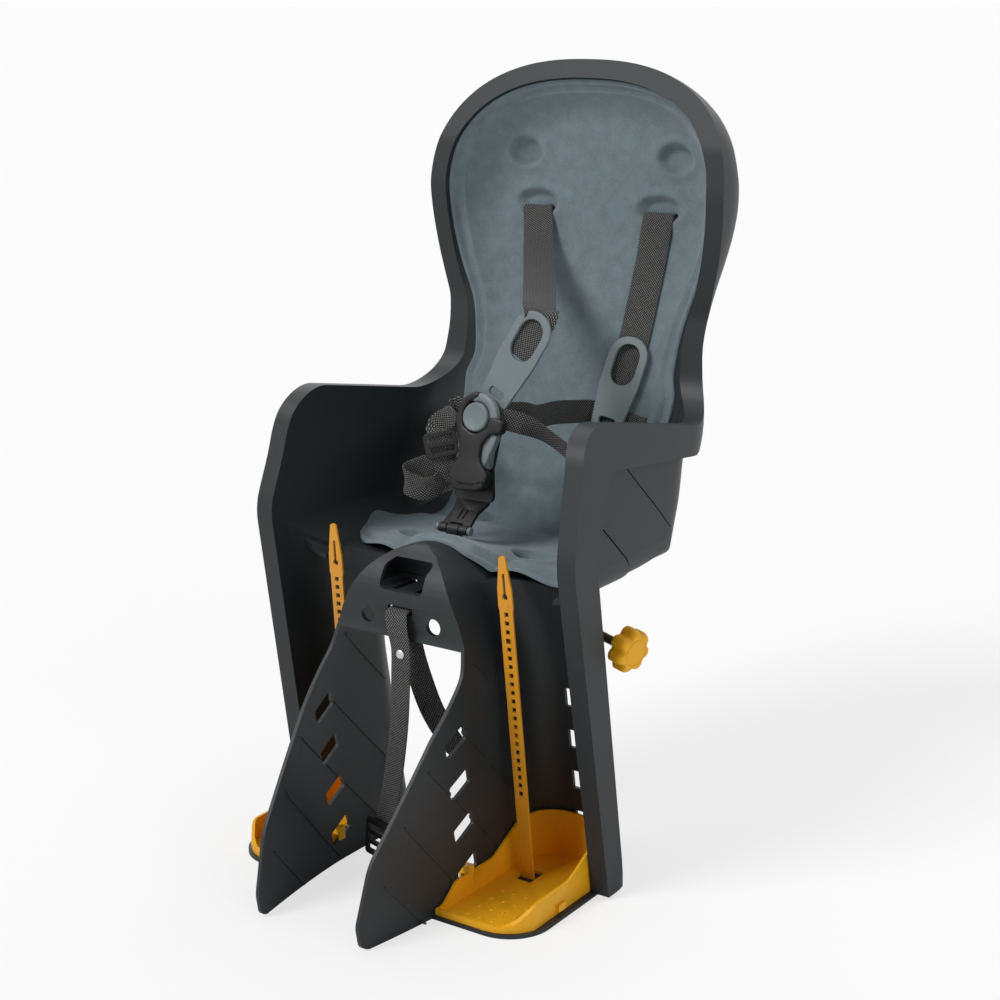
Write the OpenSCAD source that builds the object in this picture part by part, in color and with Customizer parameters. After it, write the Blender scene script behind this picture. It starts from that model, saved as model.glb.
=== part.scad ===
// Child bike seat: moulded shell with leg wells, formed pad, three-point harness, foot trays,
// wheel safety strap and a side clamp knob.
// X runs across the seat with 0 on the middle plane, Y runs to the back with 0 on the front face
// of the arch, and Z is up with 0 at the height of the carrier rods.
// The modules measure heights from the floor, and drop() brings each piece down to the rods.

/* [Shell] */
// Wall thickness of the moulding
wall = 4; // [3:0.5:5]
// Overall height to the top of the head rim
total_h = 804; // [780:2:830]
// Height where the head starts to round over
head_z = 664; // [650:2:680]
// Half width at the bottom of the wings
foot_half = 199; // [190:1:210]
// Half width at the kink of the wings
kink_half = 193; // [188:1:200]
// Half width at the waist above the arms
waist_half = 168; // [160:1:176]
// Half width of the head at its widest
head_half = 182; // [175:1:190]
// Width of the rim that faces forward
rim_w = 20; // [16:1:24]
// Radius of the corner between the back and the sides
dish_r = 52; // [40:2:60]

/* [Seat pan and tunnel] */
// Height of the pan at its sides
pan_z = 308; // [300:1:316]
// Highest point of the arch
arch_top = 343; // [338:1:348]
// Half width of the wheel tunnel
tunnel_half = 85; // [78:1:90]
// Height where the tunnel starts to close
spring_z = 200; // [180:2:220]
// Lower edge of the arch front wall
arch_low = 256; // [246:1:262]
// Thickness of the arch front wall
arch_wall = 5; // [4:0.5:8]
// Distance between the two carrier rod holes
rod_gap = 80; // [72:1:90]
// Height of the carrier rods
rod_z = 274; // [268:1:278]
// Diameter of the carrier rod holes in the arch
rod_hole_d = 17; // [14:0.5:18]

/* [Leg wells] */
// Back of the leg wells at floor level
well_back = 138; // [130:1:150]
// How far the well back leans forward for each unit of height
well_lean = 0.17; // [0.12:0.01:0.2]
// Radius of the outer rear corner of a well
well_r = 48; // [40:1:54]
// Spacing of the height holes
hole_pitch = 46.8; // [44:0.2:48]
// Height of the lowest panel hole
hole_low = 33; // [31:1:38]
// Thickness of the well floor
floor_t = 4; // [3:0.5:5]

/* [Foot rests] */
// Thickness of the tray floor
tray_floor = 3; // [2.5:0.5:4]
// Thickness of the tray wall
tray_wall = 2.5; // [2:0.5:3.5]
// Gap between tray and leg well
tray_gap = 1.2; // [0.8:0.2:2]
// Height of the tray wall at the back
tray_high = 56; // [48:1:60]
// Length of a foot strap
strap_len = 348; // [320:1:360]
// Width of a foot strap
strap_w = 15; // [13:1:18]
// Thickness of a foot strap
strap_t = 2.2; // [1.8:0.2:3]
// Size of the square strap holes
strap_hole = 5; // [4:0.5:6]
// Number of square strap holes
strap_holes = 22; // [16:1:24]

/* [Harness] */
// Width of the harness webbing
web_w = 38; // [30:1:40]
// Thickness of the webbing
web_t = 1.4; // [1.2:0.2:1.6]
// Thickness of the pad
pad_t = 9; // [7:0.5:11]
// Width of a tongue plate
tongue_w = 46; // [42:1:50]
// Length of a tongue plate
tongue_l = 112; // [106:1:116]
// Thickness of a tongue plate
tongue_t = 4; // [3:0.5:5]
// Radius of the push button
button_r = 15; // [13:0.5:16]
// Travel of the push button
button_travel = 2.5; // [2:0.5:3]

/* [Safety strap] */
// Width of the wheel strap
safety_w = 25; // [20:1:27]

/* [Clamp] */
// Diameter of the carrier rods
rod_d = 12; // [10:0.5:13]
// Diameter of the clamp stud
stud_d = 9; // [8:0.5:10]
// Outer diameter of the knob
knob_d = 45; // [40:1:50]
// Thickness of the knob
knob_t = 18; // [15:1:22]
// Running gap of the stud in its bush
stud_gap = 0.1; // [0.05:0.05:0.3]

/* [Hidden] */
$fn = 48;

charcoal = [0.24, 0.25, 0.26];
pad_blue = [0.44, 0.50, 0.54];
yellow = [0.96, 0.66, 0.16];
webbing = [0.2, 0.2, 0.21];
light_grey = [0.52, 0.55, 0.57];
black = [0.09, 0.09, 0.1];
steel = [0.7, 0.7, 0.7];
brass = [0.45, 0.4, 0.22];

big = 900;
front_y = -170;
head_n = 2.35;

// Places that several pieces share
panel_reach = tunnel_half + 15;
strap_x = tunnel_half + 25.5;
bush_r = 7;
bush_gap = 0.05;
lap_z = 426;
shoulder_x = 77;
slot_z = 642;
lap_x = 108;
button_at = [0, 143, 451];
pin_at = [0, 92, arch_top + 3];
tongue_turn = -24.8;
tongue_reach = 99.2;
tongue_right_at = [75, 305, 496];
stud_end = [rod_gap / 2 + 11, 131.1, rod_z + 3.8];
stud_dir = [0.97, -0.2, -0.15];
stud_l = 158;
tray_z = floor_t;

// Cosine easing from a to b as t runs from 0 to 1
function ease(a, b, t) = a + (b - a) * (1 - cos(180 * max(0, min(1, t)))) / 2;

// Outer half width of the rim at height z, up to where the head starts
function rim_half(z) =
  z < 357 ? foot_half + (kink_half - foot_half) * max(z, 0) / 357 :
  z < 425 ? ease(kink_half, kink_half - 5, (z - 357) / 68) :
  z < 530 ? ease(kink_half - 5, waist_half, (z - 425) / 105) :
  ease(waist_half, head_half, (z - 530) / (head_z - 530));

// Inner half width of the bucket at height z
function in_half(z) = rim_half(z) - rim_w;

// Inner face of the back on the middle plane at height z
function back_y(z) =
  let (lean = 0.37, y0 = 252, z0 = 310, z1 = 590, z2 = 690)
  z < z1 ? y0 + lean * (z - z0) :
  y0 + lean * (z1 - z0) + lean * (min(z, z2) - z1) * (1 - (min(z, z2) - z1) / (2 * (z2 - z1)));

// Back face of a leg well at height z
function well_y(z) = well_back - well_lean * z;

// Half width of the wheel tunnel at height z
function tunnel_x(z) =
  z < spring_z ? tunnel_half - 3 * (1 - max(z, 0) / spring_z) :
  tunnel_half * sqrt(max(0, 1 - pow((z - spring_z) / (arch_top - spring_z), 2)));

// How far the panels turn inwards ahead of the arch
function panel_flare(y) = 17 * pow(max(0, -y) / 141, 1.5);

// Height of the arch at half width x
function arch_z(x) =
  spring_z + (arch_top - spring_z) * sqrt(max(0, 1 - pow(x / tunnel_half, 2)));

// Polygon with each corner [x, y, radius] rounded by an arc of n steps
function rounded(p, n = 6) = [for (i = [0:len(p) - 1])
  let (
    a = [p[(i + len(p) - 1) % len(p)].x, p[(i + len(p) - 1) % len(p)].y],
    b = [p[i].x, p[i].y],
    c = [p[(i + 1) % len(p)].x, p[(i + 1) % len(p)].y],
    u = (a - b) / norm(a - b),
    v = (c - b) / norm(c - b),
    half = acos(max(-1, min(1, u * v))) / 2,
    cut = p[i].z / tan(half),
    mid = b + (u + v) / norm(u + v) * p[i].z / sin(half),
    s = b + u * cut - mid,
    e = b + v * cut - mid,
    turn = acos(max(-1, min(1, (s * e) / (norm(s) * norm(e))))),
    side = s.x * e.y - s.y * e.x > 0 ? 1 : -1
  )
  if (p[i].z == 0) b else
  each [for (k = [0:n]) let (w = side * turn * k / n)
    mid + [s.x * cos(w) - s.y * sin(w), s.x * sin(w) + s.y * cos(w)]]];

// Faces that close a stack of equal point loops into a solid
function skin_faces(rows, n) = concat(
  [[for (k = [0:n - 1]) k]],
  [for (i = [0:rows - 2], k = [0:n - 1], s = [0, 1])
    let (a = i * n + k, b = i * n + (k + 1) % n)
    s == 0 ? [a, b + n, b] : [a, a + n, b + n]],
  [[for (k = [0:n - 1]) (rows - 1) * n + n - 1 - k]]);

module drop() translate([0, 0, -rod_z]) children();

module skin(loops) {
  n = len(loops[0]);
  polyhedron([for (l = loops) each l], skin_faces(len(loops), n), convexity = 10);
}

// Frame with its origin at o, its X along u and its Y near v
module place(o, u, v) {
  x = u / norm(u);
  z = cross(x, v) / norm(cross(x, v));
  y = cross(z, x);
  multmatrix([[x.x, y.x, z.x, o.x], [x.y, y.y, z.y, o.y], [x.z, y.z, z.z, o.z], [0, 0, 0, 1]])
    children();
}

// Solid drawn as a YZ outline and pushed along X from x0 to x1
module side_cut(x0, x1) {
  multmatrix([[0, 0, 1, x0], [1, 0, 0, 0], [0, 1, 0, 0], [0, 0, 0, 1]])
    linear_extrude(x1 - x0) children();
}

// Solid drawn as an XZ outline and pushed along Y from y0 to y1
module front_cut(y0, y1) {
  translate([0, y1, 0]) rotate([90, 0, 0]) linear_extrude(y1 - y0) children();
}

// Bucket form
// g is the distance that the form is grown outwards from the inner face.
// A half section runs from the open front, round the corner, to the middle plane.
arc_n = 6;
level_n = 20;
fan_n = 8;
level_z0 = -10;

function level_z(i) = level_z0 + (head_z - level_z0) * i / level_n;

// Depth of the rounded corner at distance r from the middle, for half width w
function corner_drop(r, w, g) =
  let (q = dish_r + g, u = max(0, min(1, (r - (w - q)) / q))) q * (1 - sqrt(1 - u * u));

// Distances from the middle plane at which a half section has points
function section_r(w, g) = concat(
  [w, w],
  [for (k = [0:arc_n - 1]) w - (dish_r + g) * (1 - cos(90 * k / arc_n))],
  [w - (dish_r + g), (w - dish_r - g) / 2]);

// Half section in the direction [dx, dz] from the point [0, z0]
function half_section(w, dx, dz, z0, g) =
  let (r = section_r(w, g))
  [for (k = [0:len(r) - 1])
    let (
      z = z0 + r[k] * dz,
      q = dish_r + g,
      y = k == 0 ? front_y : k == 1 ? 60 :
        back_y(z) + g - (k - 2 < arc_n ? q * (1 - sin(90 * (k - 2) / arc_n)) : 0)
    )
    [r[k] * dx, y, z]];

// Outline of the head at angle a, as [x, z] from the head's centre
function head_xz(a, g) = [
  (head_half - rim_w + g) * pow(cos(a), 2 / head_n),
  (total_h - rim_w - head_z + g) * pow(max(0, sin(a)), 2 / head_n)];

function mirror_x(p) = [for (q = p) [-q.x, q.y, q.z]];

module bucket_form(g) {
  right = concat(
    [for (i = [0:level_n]) half_section(in_half(level_z(i)) + g, 1, 0, level_z(i), g)],
    [for (j = [1:fan_n - 1])
      let (p = head_xz(90 * j / fan_n, g), w = norm(p))
      half_section(w, p.x / w, p.y / w, head_z, g)]);
  top = [half_section(total_h - rim_w - head_z + g, 0, 1, head_z, g)];
  left = [for (i = [len(right) - 1:-1:0]) mirror_x(right[i])];
  rows = concat(right, top, left);
  m = len(rows[0]);
  n = len(rows);
  spine = n * m;
  points = concat(
    [for (r = rows) each r],
    [for (i = [0:level_n]) [0, back_y(level_z(i)) + g, level_z(i)]],
    [[0, front_y, head_z]]);
  // Index of the middle point that belongs to row i
  function mid(i) = spine + min(level_n, min(i, n - 1 - i));
  faces = concat(
    [for (i = [0:n - 2], k = [0:m - 2], s = [0, 1])
      let (a = i * m + k, b = a + m)
      s == 0 ? [a, b + 1, a + 1] : [a, b, b + 1]],
    [for (i = [0:n - 2])
      let (a = i * m + m - 1, b = a + m)
      mid(i) == mid(i + 1) ? [a, b, mid(i)] : [a, mid(i + 1), mid(i)]],
    [for (i = [0:n - 2])
      let (a = i * m + m - 1, b = a + m)
      if (mid(i) != mid(i + 1)) [a, b, mid(i + 1)]],
    [[for (i = [n - 1:-1:0]) i * m]],
    [concat([for (k = [0:m - 1]) k], [spine], [for (k = [m - 1:-1:0]) (n - 1) * m + k])]);
  polyhedron(points, faces, convexity = 10);
}

// Floor of the bucket as an XZ outline, with the hump that runs back from the arch
pan_r = 38;
function hump(y) = y < 30 ? 1 : 1 - ease(0, 1, (y - 30) / 150);
function pan_section(y, g) =
  let (
    w = in_half(pan_z) + g + 0.5,
    h = hump(y),
    edge = tunnel_half * sqrt(1 - pow((pan_z - spring_z) / (arch_top - spring_z), 2)) - g)
  concat(
    [[w, y, big], [w, y, pan_z + pan_r]],
    [for (k = [1:5]) [w - (pan_r + g) * (1 - cos(90 * k / 5)), y,
      pan_z + pan_r - (pan_r + g) * sin(90 * k / 5)]],
    [for (k = [-6:6]) let (x = -edge * k / 6)
      [x, y, max(pan_z, pan_z + (arch_z(abs(x) * (edge + g) / edge) - pan_z) * h) - g]],
    [for (k = [5:-1:1]) [-w + (pan_r + g) * (1 - cos(90 * k / 5)), y,
      pan_z + pan_r - (pan_r + g) * sin(90 * k / 5)]],
    [[-w, y, pan_z + pan_r], [-w, y, big]]);

module pan_form(g)
  skin([for (y = [front_y - 5, 30, 55, 80, 105, 130, 155, 180, 480]) pan_section(y, g)]);

// Rounded corner between the pan and the back
module crease_form(g)
  side_cut(-250, 250) polygon(rounded([
    [front_y - 10, pan_z - g - 0.01, 0],
    [back_y(pan_z - min(g, 0)) + g, pan_z - g - 0.01, 46 + g],
    [back_y(590) + g + 0.5, 590, 0],
    [560, 600, 0],
    [560, big + 10, 0],
    [front_y - 10, big + 10, 0]], 8));

module bucket(g) {
  intersection() {
    bucket_form(g);
    pan_form(g);
    crease_form(g);
  }
}

// Leg well, drawn for the right side
function well_loop(z, g) =
  let (xo = in_half(z) + g, xi = tunnel_x(z) - g, y = well_y(z) + g)
  [for (p = rounded(concat(
    [[xo, front_y, 0], [xo, y, well_r + g], [xi, y, min(38, 24 + xi / 6) + g]],
    [for (q = [0, -36, -72, -108, -144, front_y]) [xi - panel_flare(q), q, 0]]), 6))
    [p.x, p.y, z]];

module well(g, top = 346)
  skin([for (z = [floor_t - g * floor_t / wall, 60, 120, 160, 200, 225, 250, 270, 290, 308, 325, top])
    well_loop(z, g)]);

module both() {
  children();
  mirror([1, 0, 0]) children();
}

// Front edge of wings, arms and head as a YZ curve, shifted back by d
wing_front = [[84, -60, 0], [11, 357, 70], [48, 484, 44], [298, 438, 48],
  [314, 545, 60], [304, 668, 80], [311, 715, 60], [343, 812, 0]];

// Rear edge of the lip as a YZ curve
wing_lip = [[112, -60, 0], [52, 352, 60], [84, 433, 16], [268, 414, 34], [330, 496, 60],
  [362, 590, 60], [342, 700, 60], [374, 830, 0]];

module behind(curve, d = 0)
  side_cut(-260, 260) offset(delta = -d) polygon(rounded(concat(curve,
    [[curve[len(curve) - 1].x, big, 0], [600, big, 0], [600, -60, 0]]), 6));

// Front edge of the panels and the arch as a YZ curve
panel_front = [[-132, -3, 0], [-149, 4, 10], [-153, 26, 22], [-137, 84, 60], [-58, 184, 60], [-9, 234, 40],
  [0, 262, 30], [0, arch_top + 1, 54]];

module panel_keep(d = 0)
  polygon(rounded(concat(panel_front, [[300, arch_top + 1, 0], [300, -3, 0]]), 5));

// Outline of the well floor seen from above, drawn for the right side
module floor_outline(inset = 0)
  polygon(rounded([[panel_reach - 50, -57 + inset, 0], [foot_half - 16 - inset, -57 + inset, 45],
    [foot_half - 16 - inset, 200, 0], [panel_reach - 50, 200, 0]]));

module shell_form() {
  difference() {
    union() {
      bucket(wall);
      both() well(wall);
      arch_front();
      pocket_back();
    }
    bucket(0);
    both() well(0);
    // Open front of wings, arms and head
    difference() {
      side_cut(-260, 260) polygon([[front_y - 20, -40], [front_y - 20, 950], [600, 950],
        [600, -40]]);
      behind(wing_front);
      translate([-panel_reach, -250, -50]) cube([2 * panel_reach, 600, arch_top + 58]);
      both() translate([50, -250, -50]) cube([in_half(0) + wall - 50, 600, 50 + floor_t]);
    }
    // Front edge of the panels and the arch
    difference() {
      translate([-panel_reach, front_y - 20, -50]) cube([2 * panel_reach, 400, arch_top + 58]);
      side_cut(-panel_reach - 1, panel_reach + 1) panel_keep();
      translate([-panel_reach - 1, 180, -51]) cube([2 * panel_reach + 2, 400, 500]);
      both() translate([tunnel_x(floor_t), front_y, -51]) cube([60, 400, 51 + floor_t]);
    }
    // Front edge of the well floors
    both() difference() {
      intersection() {
        translate([0, front_y - 5, -1]) cube([300, 180, floor_t + 1.4]);
        linear_extrude(20) {
          polygon([for (p = well_loop(floor_t, 0.3)) [p.x, p.y]]);
          translate([foot_half - 49, front_y]) square([60, 300]);
        }
      }
      translate([0, 0, -2]) linear_extrude(30) floor_outline();
    }
    translate([-300, front_y - 40, -60]) cube([600, 900, 60]);
  }
}

// Front wall of the arch behind the panels' front curve, which trims it later
module arch_front() {
  intersection() {
    side_cut(-panel_reach + 10, panel_reach - 10) difference() {
      offset(delta = 3) panel_keep();
      translate([arch_wall, 0]) panel_keep();
      translate([-400, -100]) square([800, 100 + arch_low]);
      translate([60, 0]) square([400, 400]);
    }
    front_cut(-20, 80) polygon([for (k = [-12:12]) let (x = (tunnel_half - 0.5) * k / 12) [x, arch_z(x) - 1]]);
  }
}

// Wall that closes the pocket behind the arch opening, up to the pan
module pocket_back() {
  intersection() {
    translate([-36, 45, 290]) cube([72, 5, 60]);
    front_cut(-20, 80) polygon([for (k = [-12:12]) let (x = (tunnel_half - 0.5) * k / 12) [x, arch_z(x) - 1]]);
  }
}

// Rim that faces forward and the lip that turns back from it
module rim() {
  difference() {
    intersection() {
      bucket_form(rim_w);
      behind(wing_front);
      translate([-300, -300, 3]) cube([600, 900, 1000]);
    }
    behind(wing_lip);
    intersection() {
      bucket_form(rim_w - wall);
      behind(wing_front, wall);
    }
    bucket_form(wall / 2);
    translate([23 - waist_half, 0, 0]) cube([2 * waist_half - 46, 600, 600]);
  }
}

// Slanted height hole in the panel, centred at [y, z]
module panel_hole(y, z)
  translate([0, y, z]) side_cut(panel_reach - 50, panel_reach) polygon(rounded([
    [-16, 1, 3], [12, 15.5, 3], [16, -1, 3], [-12, -15.5, 3]], 2));

// Plates that step outwards on the side wall, seen from the side as YZ outlines
side_plates = [
  [[58, 436, 0], [126, 432, 0], [222, 341, 10], [212, 322, 8], [150, 300, 0], [58, 290, 0]],
  [[58, 396, 0], [150, 313, 8], [140, 296, 6], [100, 270, 0], [58, 270, 0]]];

module side_steps() {
  for (i = [0:1]) intersection() {
    difference() {
      bucket(wall + 2.2 * (i + 1));
      bucket(wall - 0.5);
    }
    side_cut(-260, 260) polygon(rounded(side_plates[i], 3));
    both() translate([kink_half - 53, 0, 0]) cube([100, 400, 500]);
  }
}

// Thin slanted ribs on both faces of the panels
panel_ribs = [[11, 243, 80, 173], [-16, 185, 82, 82], [-63, 155, 63, 24], [-95, 109, 0, -1],
  [-120, 57, -63, -7]];

module panel_rib_form() {
  intersection() {
    both() difference() {
      well(wall + 1, 300);
      well(-1, 300);
    }
    side_cut(4 - panel_reach, panel_reach - 4) {
      for (r = panel_ribs) {
        d = [r[2] - r[0], r[3] - r[1]] / norm([r[2] - r[0], r[3] - r[1]]);
        n = [-d.y, d.x];
        polygon([for (q = [[0, 1], [0, -1], [1, -1], [1, 1]])
          [r[0], r[1]] + q.x * [r[2] - r[0], r[3] - r[1]] + q.y * n]);
      }
    }
    translate([4 - panel_reach, front_y + 4, 0.5]) cube([2 * panel_reach - 8, 300, 300]);
    side_cut(3 - panel_reach, panel_reach - 3) offset(delta = -3) panel_keep();
    // Inside the wells the ribs end above the floor
    union() {
      translate([-tunnel_half + 5, front_y, -1]) cube([2 * tunnel_half - 10, 400, 400]);
      translate([3 - panel_reach, front_y, floor_t + 1.2]) cube([2 * panel_reach - 6, 400, 400]);
    }
  }
}

module shell() {
  color(charcoal) drop() difference() {
    resize([0, 0, 0]) difference() {
      union() {
        shell_form();
        rim();
        side_steps();
        panel_rib_form();
        // Cross block behind the arch opening
        translate([-30, arch_wall - 1, 289]) cube([60, 44, 19]);
      }
      // Opening, strap slot and lock holes of the arch
      front_cut(-30, 42) polygon(rounded([[-27, 302, 6], [-27, 325, 9], [-18, 332, 5],
        [30, 332, 4], [25, 322, 5], [25, 302, 5]], 2));
      front_cut(-30, 14) translate([-15, 281]) square([30, 7]);
      for (s = [-1, 1]) front_cut(10, 60) translate([13.5 * s, 300]) circle(4, $fn = 12);
      // Height holes in the panels and slots in the wells
      both() for (i = [0:3]) {
        panel_hole(-3 - 7 * i, hole_low + hole_pitch * i);
        translate([in_half(60) - 47, well_y(48 + hole_pitch * i) - 24, 48 + hole_pitch * i - 10])
          cube([18, 60, 20]);
      }
      // Harness slots
      for (s = [-1, 1]) {
        front_cut(330, 420) translate([shoulder_x * s - web_w / 2 - 3, slot_z - 6])
          square([web_w + 6, 12]);
        front_cut(330, 420) translate([90 * s - 19, 694]) square([38, 12]);
        front_cut(200, 330) translate([lap_x * s - 4, lap_z - 16]) square([8, 32]);
      }
    }
    for (s = [-1, 1]) translate([s * rod_gap / 2, -10, rod_z]) rotate([-90, 0, 0])
      cylinder(h = 30, d = rod_hole_d);
  }
}

// Formed pad that lies in the bucket, back and seat lobe in one
pad_gap = 0.4;
function pad_y(z) = back_y(z) - pad_gap - pad_t;

module pad_back_outline()
  polygon(rounded([[-122, 300, 0], [122, 300, 0], [128, 400, 20], [134, 480, 60], [142, 540, 60],
    [161, 660, 80], [148, 760, 60], [84, 794, 50], [-84, 794, 50], [-148, 760, 60],
    [-161, 660, 80], [-142, 540, 60], [-134, 480, 60], [-128, 400, 20]], 4));

module pad_seat_outline()
  polygon(rounded([[-122, 300, 0], [-122, 230, 20], [-150, 212, 16], [-166, 146, 30],
    [-160, 80, 50], [-64, 80, 20], [-34, 62, 12], [34, 62, 12], [64, 80, 20], [160, 80, 50],
    [166, 146, 30], [150, 212, 16], [122, 230, 20], [122, 300, 0]], 4));

module pad_layer() {
  difference() {
    bucket(-pad_gap);
    bucket(-pad_gap - pad_t);
  }
}

module seat_pad() {
  color(pad_blue) drop() resize([0, 0, 0]) difference() {
    union() {
      intersection() {
        pad_layer();
        front_cut(120, 400) pad_back_outline();
        translate([-200, 0, 352]) cube([400, 400, 500]);
        behind(wing_front, 9);
      }
      intersection() {
        pad_layer();
        translate([0, 0, 300]) linear_extrude(55) pad_seat_outline();
      }
    }
    for (s = [-1, 1]) {
      front_cut(330, 420) translate([shoulder_x * s - web_w / 2 - 2, slot_z - 5])
        square([web_w + 4, 10]);
      front_cut(240, 330) translate([lap_x * s - 3, lap_z - 17]) square([6, 34]);
    }
    // Cut-out round the crotch anchor
    translate([-24, 50, 300]) cube([48, 62, 90]);
  }
}

// Foot tray, drawn for the right side
module tray_outline(inset) intersection() {
  polygon([for (p = well_loop(60, -inset)) [p.x, p.y]]);
  floor_outline(inset + 1);
}

module foot_tray(side) {
  color(yellow) drop() mirror([side < 0 ? 1 : 0, 0, 0]) difference() {
    union() {
      intersection() {
        difference() {
          translate([0, 0, tray_z]) linear_extrude(tray_high) tray_outline(tray_gap);
          translate([0, 0, tray_z + tray_floor]) linear_extrude(tray_high)
            tray_outline(tray_gap + tray_wall);
        }
        side_cut(0, 260) polygon(rounded([[-80, 0, 0], [-80, 10, 0], [-46, 11, 12],
          [-26, 30, 12], [36, 31, 16], [78, 52, 16], [110, tray_high, 16],
          [160, tray_high, 0], [160, 0, 0]], 4));
      }
      // Hook that drops into the lowest panel hole
      translate([tunnel_x(hole_low) - wall - 3, -8, hole_low - 4]) cube([wall + 8, 8, 9]);
      translate([tunnel_x(hole_low) - wall - 3.6, -8, hole_low - 9]) cube([2.6, 8, 14]);
      // Lug on the outer wall
      translate([in_half(60) - tray_gap - 2, 10, tray_z + 4]) cube([6, 12, 7]);
    }
    translate([strap_x - strap_w / 2 - 2, 50, 0]) cube([strap_w + 5, 26, 20]);
    // Grip bumps are left as shallow dimples
    for (i = [0:4], j = [0:3])
      translate([strap_x - 2.5 + 14 * i, -40 + 20 * j, tray_z + tray_floor - 0.6]) cylinder(h = 2, d = 3, $fn = 8);
  }
}

// Foot strap, standing in the slot of its tray
strap_foot = [strap_x, 62, tray_z + 0.4];
strap_tip = [strap_x - 7.5, 26, 350];

module foot_strap(side) {
  w = strap_w / 2;
  dir = strap_tip - strap_foot;
  color(yellow) drop() mirror([side < 0 ? 1 : 0, 0, 0])
    place(strap_foot, [1, 0, dir.x / -dir.z], dir)
      translate([0, 0, -strap_t / 2]) linear_extrude(strap_t) difference() {
        polygon(rounded([[-w, 0, 0], [w, 0, 0], [w, strap_len - 56, 1], [w + 1, strap_len - 53, 2],
          [w + 0.6, strap_len - 34, 12], [3.4, strap_len, 3], [-3.4, strap_len, 3],
          [-w - 0.6, strap_len - 34, 12], [-w - 1, strap_len - 53, 2], [-w, strap_len - 56, 1]], 4));
        for (i = [0:strap_holes - 1])
          translate([-strap_hole / 2, 93 + i * 9.15]) square(strap_hole);
        translate([0, strap_len - 42]) circle(3.2, $fn = 24);
        translate([-1.4, strap_len - 42]) square([2.8, 24]);
      }
}

// Flat band through a list of points, each with its own width direction
function band_loop(p, along, across, w, t) =
  let (
    u = along / norm(along),
    v = (across - u * (across * u)) / norm(across - u * (across * u)),
    n = cross(u, v))
  [p - v * w / 2 - n * t / 2, p + v * w / 2 - n * t / 2, p + v * w / 2 + n * t / 2,
    p - v * w / 2 + n * t / 2];

// Smooth curve through points, four steps a span
function spline_at(p, i, t) =
  let (
    n = len(p),
    a = p[max(0, i - 1)], b = p[i], c = p[min(n - 1, i + 1)], d = p[min(n - 1, i + 2)])
  0.5 * ((2 * b) + (c - a) * t + (2 * a - 5 * b + 4 * c - d) * t * t
    + (3 * b - a - 3 * c + d) * t * t * t);
function spline(p, steps = 4) = concat(
  [for (i = [0:len(p) - 2], k = [0:steps - 1]) spline_at(p, i, k / steps)], [p[len(p) - 1]]);

// route is a list of [point, width direction]
module band(route, w, t, steps = 4) {
  pts = spline([for (r = route) r[0]], steps);
  dirs = spline([for (r = route) r[1]], steps);
  n = len(pts);
  skin([for (i = [0:n - 1])
    band_loop(pts[i], pts[min(n - 1, i + 1)] - pts[max(0, i - 1)], dirs[i], w, t)]);
}

module shoulder_strap_right() {
  ax = [1, 0, 0];
  color(webbing) drop() band([
    [[shoulder_x, back_y(slot_z) + wall + 2, slot_z + 1], ax],
    [[shoulder_x, back_y(slot_z) - 2, slot_z], ax],
    [[shoulder_x, pad_y(slot_z - 3) - 1.6, slot_z - 3], ax],
    [[shoulder_x - 0.5, pad_y(600) - 2, 600], ax],
    [[shoulder_x - 1, pad_y(560) - 2, 560], ax],
    [[shoulder_x - 2, pad_y(520) - 2, 520], ax],
    [[shoulder_x - 5, pad_y(490) - 1.6, 490], [1, 0, -0.1]],
    [[shoulder_x - 8, pad_y(462) - 1.6, 462], [1, 0, -0.15]]], web_w - 1, web_t);
}

// Point of the buckle frame at distance l along the plugged tongue and h in front
function on_tongue(l, h) =
  let (up = buckle_up / norm(buckle_up), out = cross([1, 0, 0], up))
  button_at + [1, 0, 0] * (-l * sin(tongue_turn)) + up * l * cos(tongue_turn) + out * h;

module shoulder_strap_left() {
  ax = [1, 0, 0];
  tilt = [0.908, -0.11, -0.405];
  h = base_top - web_t / 2 - 0.5;
  color(webbing) drop() band([
    [[-shoulder_x, back_y(slot_z) + wall + 2, slot_z + 1], ax],
    [[-shoulder_x, back_y(slot_z) - 2, slot_z], ax],
    [[-shoulder_x + 2, pad_y(slot_z - 3) - 2, slot_z - 3], ax],
    [[-59, 335, 607.5], [1, 0.1, 0]],
    [[-33, 297, 588], [1, 0.2, 0]],
    [[7, 236, 570], [1, 0.3, -0.1]],
    [[37, 190, 562], [0.95, 0.2, -0.25]],
    [on_tongue(tongue_reach + 15, h - 1.4), tilt],
    [on_tongue(tongue_reach - 28, h), tilt]], web_w - 3, web_t);
}

// Tongue plate with an oval window, centred on its round end and running down -Y
module tongue_plate() {
  r = tongue_w / 2;
  linear_extrude(tongue_t) difference() {
    polygon(rounded([[-r, r, r - 1], [r, r, r - 1], [r, -30, 14], [r * 0.7, -tongue_l + r, 6],
      [-r * 0.7, -tongue_l + r, 6], [-r, -30, 14]], 8));
    polygon(rounded([[-14.5, 15, 14], [14.5, 15, 14], [14.5, -30, 14], [-14.5, -30, 14]], 6));
    polygon(rounded([[-10, -66, 3.5], [10, -66, 3.5], [10, -74, 3.5], [-10, -74, 3.5]], 4));
  }
}

// Plugged into the buckle, flat on its base
module tongue_left() {
  color(light_grey) drop() buckle_place() translate([0, 0, base_top + 0.05]) rotate(tongue_turn)
    translate([0, tongue_reach, 0]) tongue_plate();
}

module tongue_right() {
  color(light_grey) drop() place([tongue_right_at.x, pad_y(tongue_right_at.z) - 8.4,
    tongue_right_at.z], [1, 0, -0.15], [10, 24.5, 66])
    translate([0, 0, -tongue_t / 2]) tongue_plate();
}

// Buckle frame: X across, Y up along the buckle, Z to the front
buckle_up = [0, 18, 66];
module buckle_place() place(button_at, [1, 0, 0], buckle_up) children();

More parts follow.
